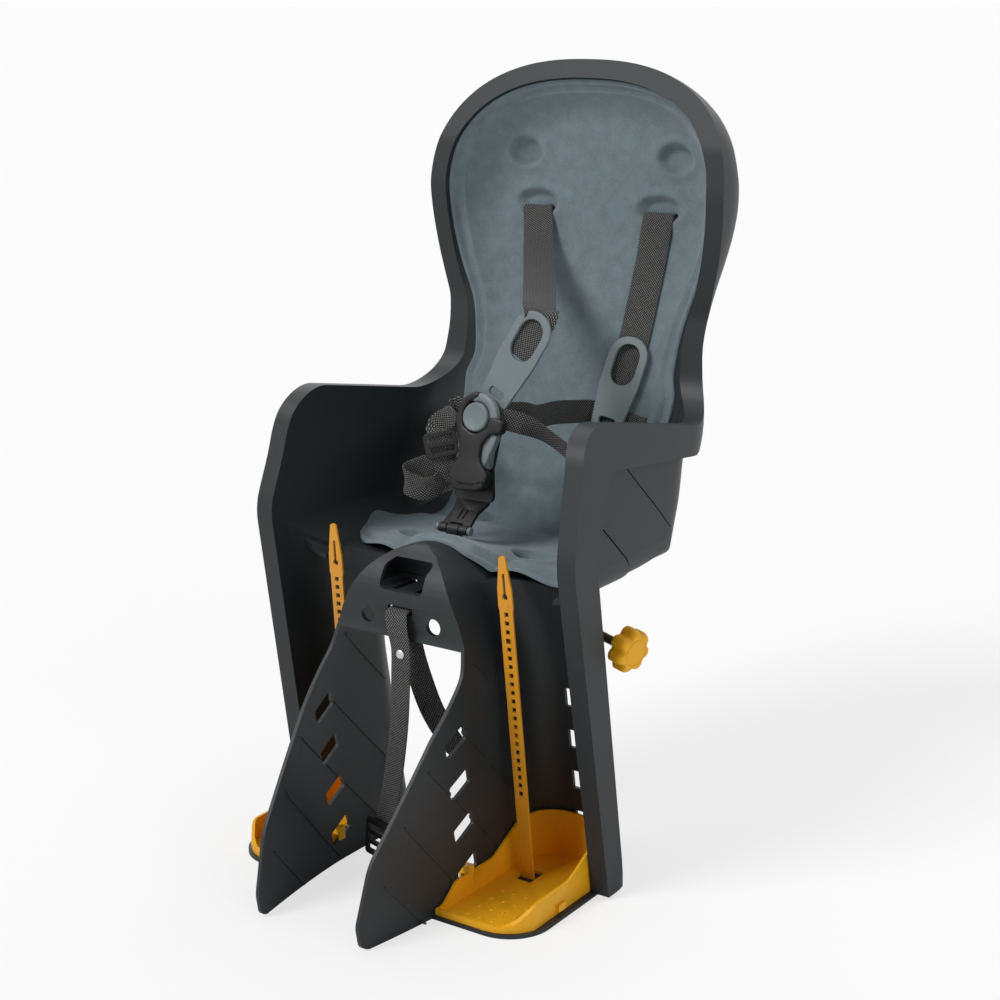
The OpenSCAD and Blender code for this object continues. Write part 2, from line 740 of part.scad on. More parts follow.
// Levels in the buckle frame: top of the base, back of the front plate and its thickness
base_top = -3;
body_back = 5;
body_t = 9;

module buckle_outline()
  polygon(rounded([[-20, 22, 8], [-6, 27, 6], [10, 24, 6], [14, 6, 8], [30, -2, 5], [30, -16, 5],
    [12, -16, 8], [10, -38, 14], [26, -62, 8], [22, -74, 6], [-22, -74, 6], [-26, -58, 8],
    [-13, -36, 14], [-24, -6, 8]], 4));

module buckle_body() {
  color(black) drop() buckle_place() difference() {
    union() {
      translate([0, 0, body_back]) linear_extrude(body_t) buckle_outline();
      // Foot below the waist that stands on the base
      translate([0, 0, base_top + 0.05]) linear_extrude(body_back + 1 - base_top)
        polygon(rounded([[-20, -52, 3], [20, -52, 3], [22, -73, 4], [-22, -73, 4]], 3));
    }
    translate([0, 0, body_back - 1]) cylinder(h = 20, r = button_r + 0.4);
  }
}

module buckle_button() {
  color(light_grey) drop() buckle_place() translate([0, 0, body_back + 1]) rotate_extrude()
    polygon(concat([[0, 0], [button_r, 0], [button_r, body_t - 1]],
      [for (k = [0:6]) [button_r * cos(90 * k / 6), body_t - 1 + 5 * sin(90 * k / 6)]]));
}

// Moulded strap from the pin up to the base that carries the buckle
module crotch_strap() {
  low = pin_at;
  up = buckle_up / norm(buckle_up);
  high = button_at - up * 84 + cross([1, 0, 0], up) * (base_top - 2.5);
  d = high - low;
  color(black) drop() buckle_place() translate([0, 0, base_top - 5]) linear_extrude(5)
    polygon(rounded([[-22, 12, 8], [22, 12, 8], [18, -50, 8], [25, -84, 6], [-25, -84, 6],
      [-18, -50, 8]], 4));
  color(black) drop() place(low, [1, 0, 0], d) difference() {
    union() {
      translate([0, 0, -2]) linear_extrude(4)
        polygon(rounded([[-17, 3, 2], [17, 3, 2], [15, 24, 10], [22, norm(d) + 4, 6],
          [-22, norm(d) + 4, 6], [-15, 24, 10]], 4));
      for (s = [-1, 1]) translate([s * 12.5 - 4.5, 0, 0]) rotate([0, 90, 0])
        cylinder(h = 9, r = 5);
    }
    translate([-20, 0, 0]) rotate([0, 90, 0]) cylinder(h = 40, r = 2.6);
    translate([-7.6, -10, -10]) cube([15.2, 17, 20]);
    for (s = [-1, 1]) translate([s * 3 - 0.8, 12, -5]) cube([1.6, 14, 10]);
  }
}

module crotch_pin() {
  color(steel) drop() translate(pin_at - [21, 0, 0]) rotate([0, 90, 0]) {
    cylinder(h = 42, r = 2.5);
    cylinder(h = 3.6, r = 4.2);
    translate([0, 0, 38.4]) cylinder(h = 3.6, r = 4.2);
  }
}

// Knuckle that stands on the hump and holds the pin
module crotch_anchor() {
  function seat_z(y) = pan_z + (arch_top - pan_z) * hump(y) + 0.2;
  y0 = pin_at.y - 5.2;
  y1 = pin_at.y + 5.2;
  color(black) drop() difference() {
    union() {
      side_cut(-7, 7) polygon([[y0, seat_z(y0)], [y1, seat_z(y1)], [y1, pin_at.z], [y0, pin_at.z]]);
      translate(pin_at - [7, 0, 0]) rotate([0, 90, 0]) cylinder(h = 14, r = 5.2);
    }
    translate(pin_at - [20, 0, 0]) rotate([0, 90, 0]) cylinder(h = 40, r = 2.55);
  }
}

// Width direction of webbing that lies on the pad
lap_w = 25;
on_pad = [0, 0.37, 1];
in_buckle = buckle_up / norm(buckle_up);

// Point of the buckle frame at [a, b] and h in front
function buckle_at(a, b, h) =
  let (up = buckle_up / norm(buckle_up), out = cross([1, 0, 0], up))
  button_at + [a, 0, 0] + up * b + out * h;

module lap_strap_right() {
  color(webbing) drop() {
    band([
      [[lap_x, back_y(lap_z) + wall + 2, lap_z], on_pad],
      [[lap_x, back_y(lap_z) - 3, lap_z], on_pad],
      [[lap_x - 5, pad_y(lap_z) - 2.4, lap_z + 1], on_pad],
      [[74, pad_y(432) - 2.6, 432], on_pad],
      [[59, pad_y(435) - 3, 435], on_pad],
      [[42, pad_y(438) - 6, 438], [0, 0.3, 1]],
      [[35, 262, 441], [0, 0.2, 1]],
      [[33, 225, 446], [0, 0.15, 1]],
      [[34, 190, 448], [0, 0.15, 1]],
      [[34, 162, 445], [0, 0.2, 1]],
      [buckle_at(23.5, -12, -1), in_buckle]], lap_w, web_t);
    band([
      [buckle_at(22, -12, 2.4), in_buckle],
      [[42, 150, 438], [0, 0, 1]],
      [[72, 172, 425], [0.3, -0.4, 1]],
      [[104, 160, 418], [0.2, -0.3, 1]],
      [[134, 150, 412], [0, 0, 1]],
      [[154, 165, 404], [0, 0, 1]]], lap_w - 3, web_t);
  }
}

// Frame of the tri-glide
glide_at = [-40, 125, 422];
glide_x = [0.8, 0.5, 0.2];
glide_y = [-0.1, 0.15, 1];
function on_glide(a, b, h) =
  let (x = glide_x / norm(glide_x), z = cross(x, glide_y) / norm(cross(x, glide_y)), y = cross(z, x))
  glide_at + x * a + y * b + z * h;

module lap_strap_left() {
  color(webbing) drop() {
    band([
      [[-lap_x, back_y(lap_z) + wall + 2, lap_z], on_pad],
      [[-lap_x, back_y(lap_z) - 3, lap_z], on_pad],
      [[-lap_x + 0.5, pad_y(lap_z) - 3, lap_z], on_pad],
      [[-105, 262, 424], [0, 0.2, 1]],
      [[-98, 228, 419], [0, 0.1, 1]],
      [[-88, 180, 414], [0, 0, 1]],
      [[-72, 145, 412], [0, 0, 1]],
      [[-58, 132, 416], [0, 0.1, 1]],
      [on_glide(-9, 0, -4.6), [0.1, 0.2, 1]]], lap_w, web_t);
    band([
      [on_glide(0, 1, -1.2), glide_x],
      [on_glide(0, 9, -1.3), glide_x],
      [on_glide(0, 18, -4.6), glide_x],
      [[-38, 136, 449], [0.9, 0.3, 0.3]],
      [[-31, 142, 458], [0.5, 0.3, 0.8]],
      [buckle_at(-14, 2, 0.6), in_buckle]], lap_w - 1, web_t, 3);
    band([
      [on_glide(0, 3, -3.1), glide_x],
      [on_glide(0, -14, -3.1), glide_x],
      [[-37, 118, 394], [0.6, 1, 0.2]],
      [[-42, 112, 377], [0.4, 1, 0.2]],
      [[-56, 104, 372], [0.2, 1, 0.2]],
      [[-68, 98, 384], [0.1, 1, 0.1]],
      [[-63, 104, 397], [0.2, 1, 0.1]],
      [[-52, 112, 401], [0.2, 1, 0.2]]], lap_w, web_t);
  }
}

// Three-bar slide on the left lap webbing
module tri_glide() {
  w = lap_w / 2 + 1;
  color(light_grey) drop() place(glide_at, glide_x, glide_y) linear_extrude(2.4) difference() {
    polygon(rounded([[-w - 3.5, -13, 4], [w + 3.5, -13, 4], [w + 3.5, 13, 4], [-w - 3.5, 13, 4]], 3));
    for (s = [-1, 1]) translate([-w, s * 5.5 - 3]) square([2 * w, 6]);
  }
}

// Wheel strap: from its ladder lock up to the arch slot, through it, and down again behind
module safety_strap() {
  ax = [1, 0, 0];
  color(webbing) drop() band([
    [[-28, 3, 46], [1, -0.15, -0.1]],
    [[-18, 1, 78], [1, -0.15, -0.15]],
    [[-5, -5, 125], [1, -0.15, -0.15]],
    [[4, -8.5, 174], [1, -0.15, -0.05]],
    [[7, -9.4, 222], [1, -0.1, 0]],
    [[7, -9.2, 248], [1, -0.1, 0.05]],
    [[2.5, -8.8, 270], ax],
    [[-0.5, -5.5, 282], ax],
    [[-1, 3, 285], ax],
    [[-1, 12, 284.4], ax],
    [[-1, 17, 276], ax],
    [[0, 16, 258], ax],
    [[8, 14, 228], [1, 0.3, 0]],
    [[22, 21, 180], [1, 0.5, 0]],
    [[34, 40, 140], [1, 0.7, 0]],
    [[40, 60, 118], [1, 0.9, 0]]], safety_w, web_t);
}

module safety_rivet() {
  color(steel) drop() place([7.2, -10, 243], [1, -0.1, 0.03], [0, 0, 1]) {
    translate([0, 0, 0.4]) cylinder(h = 1.6, r1 = 5.5, r2 = 3.6);
  }
}

module safety_buckle() {
  color(black) drop() place([-31.5, 3, 35], [1, -0.15, -0.1], [0.3, -0.06, 1])
    translate([0, 0, 0.6]) linear_extrude(4) difference() {
      polygon(rounded([[-17, -22, 4], [17, -22, 4], [17, 20, 4], [-17, 20, 4]], 3));
      for (y = [-17, -6, 6]) translate([-13.2, y]) square([26.4, 7]);
    }
}

// Block under the pan that carries the rods
clamp_y0 = 114;
clamp_y1 = 150;
clamp_half = rod_gap / 2 + 24;
clamp_low = rod_z - 18;
module rod_clamp() {
  color(black) drop() difference() {
    translate([-clamp_half, clamp_y0, clamp_low])
      cube([2 * clamp_half, clamp_y1 - clamp_y0, pan_z - wall - 0.05 - clamp_low]);
    for (s = [-1, 1]) translate([s * rod_gap / 2, clamp_y0 - 5, rod_z]) rotate([-90, 0, 0])
      cylinder(h = 60, d = rod_d + 0.5);
    place(stud_end - stud_dir, stud_dir, [0, 0, 1]) rotate([0, 90, 0])
      cylinder(h = 60, r = bush_r + bush_gap);
  }
}

module clamp_bush() {
  color(steel) drop() place(stud_end + stud_dir * 1, stud_dir, [0, 0, 1]) rotate([0, 90, 0])
    difference() {
      cylinder(h = 12, r = bush_r);
      translate([0, 0, -1]) cylinder(h = 20, d = stud_d + 2 * stud_gap);
    }
}

module clamp_stud() {
  color(brass) drop() place(stud_end, stud_dir, [0, 0, 1]) rotate([0, 90, 0])
    cylinder(h = stud_l, d = stud_d);
}

// Hand wheel with lobes, rounded towards its face
module clamp_knob() {
  n = 7;
  r = knob_d / 2;
  color(yellow) drop() place(stud_end, stud_dir, [0, 0, 1]) rotate([0, 90, 0])
    translate([0, 0, stud_l - 12]) difference() {
      union() {
        intersection() {
          translate([0, 0, -1]) linear_extrude(knob_t + 2)
            polygon([for (k = [0:n * 12 - 1])
              let (t = 360 * k / (n * 12), q = r - 4.5 * pow((1 - cos(n * t)) / 2, 1.6))
              [q * cos(t), q * sin(t)]]);
          rotate_extrude() polygon([[0, 0], [r + 1, 0], [r + 1, knob_t - 4.6], [r - 2.4, knob_t - 0.8],
            [r - 4.2, knob_t], [0, knob_t]]);
        }
        translate([0, 0, -4]) cylinder(h = 6, r = 8);
      }
      translate([0, 0, -5]) cylinder(h = 17, d = stud_d);
    }
}

// Bars behind the back that the shoulder webbing is looped round
module strap_bars() {
  color(steel) drop() for (s = [-1, 1])
    translate([s * shoulder_x - 27, back_y(slot_z) + wall + 5.2, slot_z + 1]) rotate([0, 90, 0])
      cylinder(h = 54, r = 2.4);
}

shell();
seat_pad();
foot_tray(-1);  // foot_tray_left
foot_tray(1);  // foot_tray_right
foot_strap(-1);  // foot_strap_left
foot_strap(1);  // foot_strap_right
shoulder_strap_left();
shoulder_strap_right();
tongue_left();
tongue_right();
buckle_body();
buckle_button();
crotch_strap();
crotch_pin();
crotch_anchor();
lap_strap_left();
lap_strap_right();
tri_glide();
safety_strap();
safety_rivet();
safety_buckle();
rod_clamp();
clamp_bush();
clamp_stud();
clamp_knob();
strap_bars();
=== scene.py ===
"""Child bike seat: the looks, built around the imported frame.

Sizes in the functions are millimetres with Z from the floor, as a maker would measure them.
place() brings them into the row frame, in metres with Z from the carrier rods.
"""

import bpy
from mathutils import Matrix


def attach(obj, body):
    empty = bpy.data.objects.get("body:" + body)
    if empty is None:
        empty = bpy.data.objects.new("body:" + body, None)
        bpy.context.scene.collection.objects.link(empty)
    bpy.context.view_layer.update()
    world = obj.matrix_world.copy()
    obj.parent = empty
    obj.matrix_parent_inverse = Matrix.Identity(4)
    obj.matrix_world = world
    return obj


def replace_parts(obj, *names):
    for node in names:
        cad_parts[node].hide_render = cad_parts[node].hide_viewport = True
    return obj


bl_info = {
    "name": "Child bike seat",
    "version": (1, 0, 0),
    "blender": (4, 5, 0),
    "location": "View3D > Sidebar > Seat",
    "description": "Moulded shell, formed pad, harness, foot trays, wheel strap and clamp knob",
    "category": "Object",
}

import math

import bmesh
import bpy
import numpy as np
from bpy.props import FloatProperty, FloatVectorProperty, PointerProperty
from mathutils import Matrix

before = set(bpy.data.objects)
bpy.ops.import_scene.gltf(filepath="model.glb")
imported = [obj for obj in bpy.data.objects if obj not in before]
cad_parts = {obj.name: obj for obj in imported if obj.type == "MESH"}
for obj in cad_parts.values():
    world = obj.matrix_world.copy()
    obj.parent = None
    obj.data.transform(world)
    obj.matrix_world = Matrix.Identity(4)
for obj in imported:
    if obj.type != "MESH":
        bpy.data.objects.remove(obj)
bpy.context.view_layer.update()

ROD_Z = 274.0
WALL = 4.0
TOTAL_H, HEAD_Z, WAIST_Z, ARM_Z, KINK_Z = 804.0, 664.0, 530.0, 425.0, 357.0
FOOT_HALF, KINK_HALF, ARM_HALF, WAIST_HALF, HEAD_HALF = 199.0, 193.0, 188.0, 168.0, 182.0
BACK_Y, BACK_Z, BACK_LEAN, BEND_Z, UPRIGHT_Z = 252.0, 310.0, 0.37, 590.0, 690.0
RIM_W, DISH_R = 20.0, 52.0
PAN_Z, PAN_R, BED = 308.0, 38.0, 46.0
ARCH_TOP, TUNNEL_HALF, SPRING_Z, ARCH_LOW, ARCH_WALL = 343.0, 85.0, 200.0, 256.0, 5.0
WELL_BACK, WELL_LEAN, WELL_R = 138.0, 0.17, 48.0
PAN_EDGE = TUNNEL_HALF * math.sqrt(1 - ((PAN_Z - SPRING_Z) / (ARCH_TOP - SPRING_Z)) ** 2)
FRONT_Y, LEVEL_Z0, HEAD_N = -170.0, -10.0, 2.35
FLOOR_T, STEP_T, GROOVE_W, GROOVE_DEPTH = 4.0, 2.2, 2.2, 1.9
ROD_X, ROD_R, HOLE_PITCH = 40.0, 8.5, 46.8
SHOULDER_X, SLOT_Z, LAP_X, LAP_Z, WEB_W, WEB_T, WEB_STEPS = 77.0, 642.0, 108.0, 426.0, 38.0, 1.4, 14
PAD_GAP, PAD_T = 0.4, 9.0
EDGE_ANGLE = 30.0


# Curves that the shell and the pad share


def ease(a, b, t):
    """Cosine easing from a to b as t runs from 0 to 1."""
    return a + (b - a) * (1 - np.cos(np.pi * np.clip(t, 0, 1))) / 2


def rim_half(z):
    """Outer half width of the rim at height z: a straight taper, then eased to the waist and the head."""
    z = np.asarray(z, float)
    low = FOOT_HALF + (KINK_HALF - FOOT_HALF) * np.maximum(z, 0) / KINK_Z
    arm = ease(KINK_HALF, ARM_HALF, (z - KINK_Z) / (ARM_Z - KINK_Z))
    waist = ease(ARM_HALF, WAIST_HALF, (z - ARM_Z) / (WAIST_Z - ARM_Z))
    head = ease(WAIST_HALF, HEAD_HALF, (z - WAIST_Z) / (HEAD_Z - WAIST_Z))
    return np.where(z < KINK_Z, low, np.where(z < ARM_Z, arm, np.where(z < WAIST_Z, waist, head)))


def in_half(z):
    """Inner half width of the bucket at height z."""
    return rim_half(z) - RIM_W


def back_y(z):
    """Inner face of the back at height z: a straight lean, then a parabola to upright, then upright."""
    z = np.asarray(z, float)
    up = np.clip(z, None, UPRIGHT_Z) - BEND_Z
    bent = BACK_LEAN * up * (1 - up / (2 * (UPRIGHT_Z - BEND_Z)))
    straight = BACK_Y + BACK_LEAN * (z - BACK_Z)
    return np.where(z < BEND_Z, straight, BACK_Y + BACK_LEAN * (BEND_Z - BACK_Z) + bent)


def well_y(z):
    """Back face of a leg well at height z."""
    return WELL_BACK - WELL_LEAN * np.asarray(z, float)


def tunnel_x(z):
    """Half width of the wheel tunnel: nearly straight, then a quarter of an ellipse."""
    z = np.asarray(z, float)
    low = TUNNEL_HALF - 3 * (1 - np.maximum(z, 0) / SPRING_Z)
    up = np.clip((z - SPRING_Z) / (ARCH_TOP - SPRING_Z), 0, 1)
    return np.where(z < SPRING_Z, low, TUNNEL_HALF * np.sqrt(1 - up * up))


def arch_z(x):
    """Height of the arch at half width x."""
    side = np.asarray(x, float) / TUNNEL_HALF
    return SPRING_Z + (ARCH_TOP - SPRING_Z) * np.sqrt(np.maximum(0, 1 - side ** 2))


def panel_flare(y):
    """How far the panels turn inwards ahead of the arch."""
    return 17 * (np.maximum(0, -np.asarray(y, float)) / 141) ** 1.5


def hump(y):
    """Share of the arch's height that the pan keeps at y, eased away towards the back."""
    return 1 - ease(0, 1, (np.asarray(y, float) - 30) / 150)


# Mesh makers


def place(points):
    """Millimetres from the floor to metres in the row frame."""
    return (np.asarray(points, float) - (0, 0, ROD_Z)) / 1000


def rounded(corners, steps=8):
    """Closed outline of corners (x, y, radius), with an arc of that radius in each corner."""
    c = np.array([q[:2] for q in corners], float)
    out = []
    for i, (*_, r) in enumerate(corners):
        a, b, d = c[i - 1], c[i], c[(i + 1) % len(c)]
        if r == 0:
            out.append(b[None])
            continue
        u, v = (a - b) / np.linalg.norm(a - b), (d - b) / np.linalg.norm(d - b)
        half = math.acos(max(-1, min(1, float(u @ v)))) / 2
        mid = b + (u + v) / np.linalg.norm(u + v) * r / math.sin(half)
        s, e = b + u * r / math.tan(half) - mid, b + v * r / math.tan(half) - mid
        turn = math.acos(max(-1, min(1, float(s @ e) / (np.linalg.norm(s) * np.linalg.norm(e)))))
        w = math.copysign(turn, s[0] * e[1] - s[1] * e[0]) * np.linspace(0, 1, steps + 1)
        cos, sin = np.cos(w), np.sin(w)
        out.append(mid + np.stack([s[0] * cos - s[1] * sin, s[0] * sin + s[1] * cos], 1))
    return np.concatenate(out)


def offset_loop(loop, d):
    """Closed outline moved inwards by d along the mean normal of its two sides."""
    before, after = np.roll(loop, 1, 0), np.roll(loop, -1, 0)

    def normal(a, b):
        t = b - a
        n = np.stack([-t[:, 1], t[:, 0]], 1)
        return n / np.maximum(np.linalg.norm(n, axis=1, keepdims=True), 1e-9)

    n1, n2 = normal(before, loop), normal(loop, after)
    m = n1 + n2
    m /= np.maximum(np.linalg.norm(m, axis=1, keepdims=True), 1e-9)
    area = np.sum(loop[:, 0] * after[:, 1] - after[:, 0] * loop[:, 1])
    reach = d / np.maximum(np.sum(m * n1, 1, keepdims=True), 0.3)
    return loop + m * reach * (1 if area > 0 else -1)


def make_object(name, points, faces):
    """Object from points in millimetres and faces as index lists, with its normals outwards."""
    mesh = bpy.data.meshes.new(name)
    mesh.from_pydata(place(points).tolist(), [], faces)
    turn = bmesh.new()
    turn.from_mesh(mesh)
    bmesh.ops.remove_doubles(turn, verts=turn.verts, dist=1e-7)
    bmesh.ops.recalc_face_normals(turn, faces=turn.faces)
    turn.to_mesh(mesh)
    turn.free()
    obj = bpy.data.objects.new(name, mesh)
    bpy.context.scene.collection.objects.link(obj)
    return obj


def grid_faces(rows, cols, closed=True):
    """Quads between neighbouring rows of a grid, closed round its columns or not."""
    k = np.arange(cols if closed else cols - 1)
    a = np.arange(rows - 1)[:, None] * cols + k
    b = np.arange(rows - 1)[:, None] * cols + (k + 1) % cols
    return np.stack([a, b, b + cols, a + cols], -1).reshape(-1, 4).tolist()


def tube_faces(rows, cols):
    """Faces of a tube through closed rows, with a flat face at each end."""
    return grid_faces(rows, cols) + [list(range(cols))[::-1], list(range((rows - 1) * cols, rows * cols))]


def loft(name, loops):
    """Closed solid through equal loops of points, with a flat face at each end."""
    loops = np.asarray(loops, float)
    return make_object(name, loops.reshape(-1, 3), tube_faces(*loops.shape[:2]))


def prism(name, outline, axis, low, high):
    """Outline pushed along an axis from low to high: axis 0 takes (y, z), 1 takes (x, z), 2 takes (x, y)."""
    loops = np.empty((2, len(outline), 3))
    loops[0, :, axis], loops[1, :, axis] = low, high
    loops[:, :, [i for i in range(3) if i != axis]] = outline
    return loft(name, loops)


def box_line(x0, y0, x1, y1):
    """Outline of a rectangle between two corners."""
    return np.array([[x0, y0], [x1, y0], [x1, y1], [x0, y1]], float)


def block(name, a, b):
    """Box between any two opposite corners."""
    (x0, y0, z0), (x1, y1, z1) = np.minimum(a, b), np.maximum(a, b)
    return prism(name, box_line(x0, y0, x1, y1), 2, z0, z1)


def slot_blocks(slots, s):
    """Boxes on side s of slots given by x, half width, front, back, middle height and half height."""
    return [block("slot", (x * s - half, front, z - tall), (x * s + half, back, z + tall))
            for x, half, front, back, z, tall in slots]


def carve(base, tool, how="DIFFERENCE"):
    """Cuts, joins or intersects base with tool, and removes tool."""
    mod = base.modifiers.new("carve", "BOOLEAN")
    mod.operation, mod.solver, mod.object = how, "MANIFOLD", tool
    made = bpy.data.meshes.new_from_object(base.evaluated_get(bpy.context.evaluated_depsgraph_get()))
    base.modifiers.clear()
    old = base.data
    base.data = made
    bpy.data.meshes.remove(old)
    bpy.data.objects.remove(tool)
    if not made.polygons:
        raise RuntimeError("nothing is left of %s" % base.name)
    return base


def mirrored(obj):
    """Copy of an object on the other side of the middle plane."""
    mesh = obj.data.copy()
    mesh.transform(Matrix.Diagonal((-1, 1, 1, 1)))
    mesh.flip_normals()
    other = bpy.data.objects.new(obj.name + "_m", mesh)
    bpy.context.scene.collection.objects.link(other)
    return other


def pair(obj):
    """The object and its mirror copy."""
    return [obj, mirrored(obj)]


# The shell's forms


def half_rows(w, dx, dz, z0, g, arcs=14):
    """Half sections from the open front round the corner to the middle, one row for each direction."""
    w, dx, dz, z0 = (np.atleast_1d(np.asarray(q, float))[:, None] for q in (w, dx, dz, z0))
    q = DISH_R + g
    t = np.arange(arcs) / arcs * np.pi / 2
    side = np.array([FRONT_Y, 20.0, 60.0, 110.0, 160.0, 200.0])
    flat = np.array([1.0, 0.8, 0.6, 0.4, 0.2])
    r = np.concatenate([np.repeat(w, len(side), 1), w - q * (1 - np.cos(t))[None], (w - q) * flat], 1)
    z = z0 + r * dz
    y = back_y(z) + g
    start = y[:, len(side)] - q
    y[:, : len(side)] = np.minimum(side[None], start[:, None] - (len(side) - np.arange(len(side)))[None] * 2)
    y[:, 0] = FRONT_Y
    y[:, len(side):len(side) + arcs] -= q * (1 - np.sin(t))[None]
    return np.stack([r * dx, y, z], -1)


def bucket_form(g, levels=64, fan=30):
    """Bucket grown by g: level sections to the head's centre, then a fan of sections round a superellipse."""
    z = LEVEL_Z0 + (HEAD_Z - LEVEL_Z0) * np.arange(levels + 1) / levels
    low = half_rows(in_half(z) + g, np.ones_like(z), np.zeros_like(z), z, g)
    a = np.pi / 2 * np.arange(1, fan + 1) / fan
    px = (HEAD_HALF - RIM_W + g) * np.maximum(np.cos(a), 0) ** (2 / HEAD_N)
    pz = (TOTAL_H - RIM_W - HEAD_Z + g) * np.sin(a) ** (2 / HEAD_N)
    px[-1] = 0
    w = np.hypot(px, pz)
    high = half_rows(w, px / w, pz / w, np.full_like(w, HEAD_Z), g)
    right = np.concatenate([low, high[:-1]])
    left = right[::-1] * (-1, 1, 1)
    rows = np.concatenate([right, high[-1:], left])
    n, m = rows.shape[:2]
    spine = np.stack([np.zeros_like(z), back_y(z) + g, z], 1)
    points = np.concatenate([rows.reshape(-1, 3), spine, [[0, FRONT_Y, HEAD_Z]]])
    mid = n * m + np.minimum(levels, np.minimum(np.arange(n), n - 1 - np.arange(n)))
    faces = grid_faces(n, m, closed=False)
    last = np.arange(n - 1) * m + m - 1
    for a0, b0, p, q in zip(last, last + m, mid[:-1], mid[1:]):
        faces.append([int(a0), int(b0), int(q)] if p == q else [int(a0), int(b0), int(q), int(p)])
    faces.append([i * m for i in range(n)])
    faces.append(list(range(m)) + [n * m] + [(n - 1) * m + k for k in range(m - 1, -1, -1)])
    return make_object("bucket", points, faces)


def pan_form(g):
    """Floor of the bucket: level, with rounded sides and a hump that runs back from the arch."""
    y = np.concatenate([[FRONT_Y - 5, 0], np.linspace(30, 180, 26), [260, 480]])
    w = in_half(PAN_Z) + g + 0.5
    edge = PAN_EDGE - g
    t = np.linspace(0, np.pi / 2, 13)
    cx, cz = w - (PAN_R + g) * (1 - np.cos(t)), PAN_Z + PAN_R - (PAN_R + g) * np.sin(t)
    x = -edge * np.linspace(-1, 1, 41)
    top = arch_z(np.abs(x) * (edge + g) / edge)
    loops = []
    for v in y:
        mid = np.maximum(PAN_Z, PAN_Z + (top - PAN_Z) * hump(v)) - g
        xs = np.concatenate([[w], cx, x, -cx[::-1], [-w]])
        zs = np.concatenate([[900.0], cz, mid, cz[::-1], [900.0]])
        loops.append(np.stack([xs, np.full_like(xs, v), zs], 1))
    return loft("pan", loops)


def crease_form(g):
    """Rounded corner between the pan and the back."""
    low = min(g, 0)
    line = rounded([[FRONT_Y - 10, PAN_Z - g - 0.01, 0],
                    [float(back_y(PAN_Z - low)) + g, PAN_Z - g - 0.01, BED + g],
                    [float(back_y(BEND_Z)) + g + 0.5, BEND_Z, 0], [560, 600, 0], [560, 910, 0],
                    [FRONT_Y - 10, 910, 0]], 20)
    return prism("crease", line, 0, -250, 250)


def bucket(g):
    """Bucket grown by g, closed below by the pan and the crease."""
    return carve(carve(bucket_form(g), pan_form(g), "INTERSECT"), crease_form(g), "INTERSECT")


def well_loop(z, g):
    """Section of the right leg well at height z, grown by g."""
    xo, xi = float(in_half(z)) + g, float(tunnel_x(z)) - g
    y = float(well_y(z)) + g
    rear = rounded([[xo, FRONT_Y, 0], [xo, y, WELL_R + g], [xi, y, min(38, 24 + xi / 6) + g],
                    [xi, 0, 0]], 14)
    q = np.linspace(0, FRONT_Y, 18)[1:]
    front = np.c_[xi - panel_flare(q), q, np.full(len(q), z)]
    return np.concatenate([np.c_[rear, np.full(len(rear), z)], front])


def well(g, top=346.0):
    """Right leg well grown by g, from its floor up to top."""
    z = np.concatenate([[FLOOR_T - g * FLOOR_T / WALL, 60, 120, 160, 200], np.arange(208, top, 8), [top]])
    return loft("well", [well_loop(v, g) for v in z])


WING_FRONT = [[84, -60, 0], [11, 357, 70], [48, 484, 44], [298, 438, 48], [314, 545, 60],
              [304, 668, 80], [311, 715, 60], [343, 812, 0]]
WING_LIP = [[112, -60, 0], [52, 352, 60], [84, 433, 16], [268, 414, 34], [330, 496, 60],
            [362, 590, 60], [342, 700, 60], [374, 830, 0]]
PANEL_FRONT = [[-132, -3, 0], [-149, 4, 10], [-153, 26, 22], [-137, 84, 60], [-58, 184, 60],
               [-9, 234, 40], [0, 262, 30], [0, ARCH_TOP + 1, 54]]


def behind_line(curve):
    """Outline of all that lies behind a side curve."""
    return rounded(curve + [[curve[-1][0], 900, 0], [600, 900, 0], [600, -60, 0]], 14)


def behind(curve, d=0.0):
    """Solid behind a side curve, moved back by d."""
    line = behind_line(curve)
    return prism("behind", offset_loop(line, d) if d else line, 0, -260, 260)


def panel_keep():
    """Outline of what is kept of the panels and the arch."""
    return rounded(PANEL_FRONT + [[300, ARCH_TOP + 1, 0], [300, -3, 0]], 12)


def floor_outline():
    """Right well floor from above."""
    edge = FOOT_HALF - 16
    return rounded([[50, -57, 0], [edge, -57, 45], [edge, 200, 0], [50, 200, 0]], 16)


STEP_LINES = [[[80, 377.6], [149, 315.3]], [[133, 426.6], [219, 345]]]
SIDE_PLATES = [
    [[58, 436, 0], [126, 432, 0], [222, 341, 10], [212, 322, 8], [150, 300, 0], [58, 290, 0]],
    [[58, 396, 0], [150, 313, 8], [140, 296, 6], [100, 270, 0], [58, 270, 0]]]


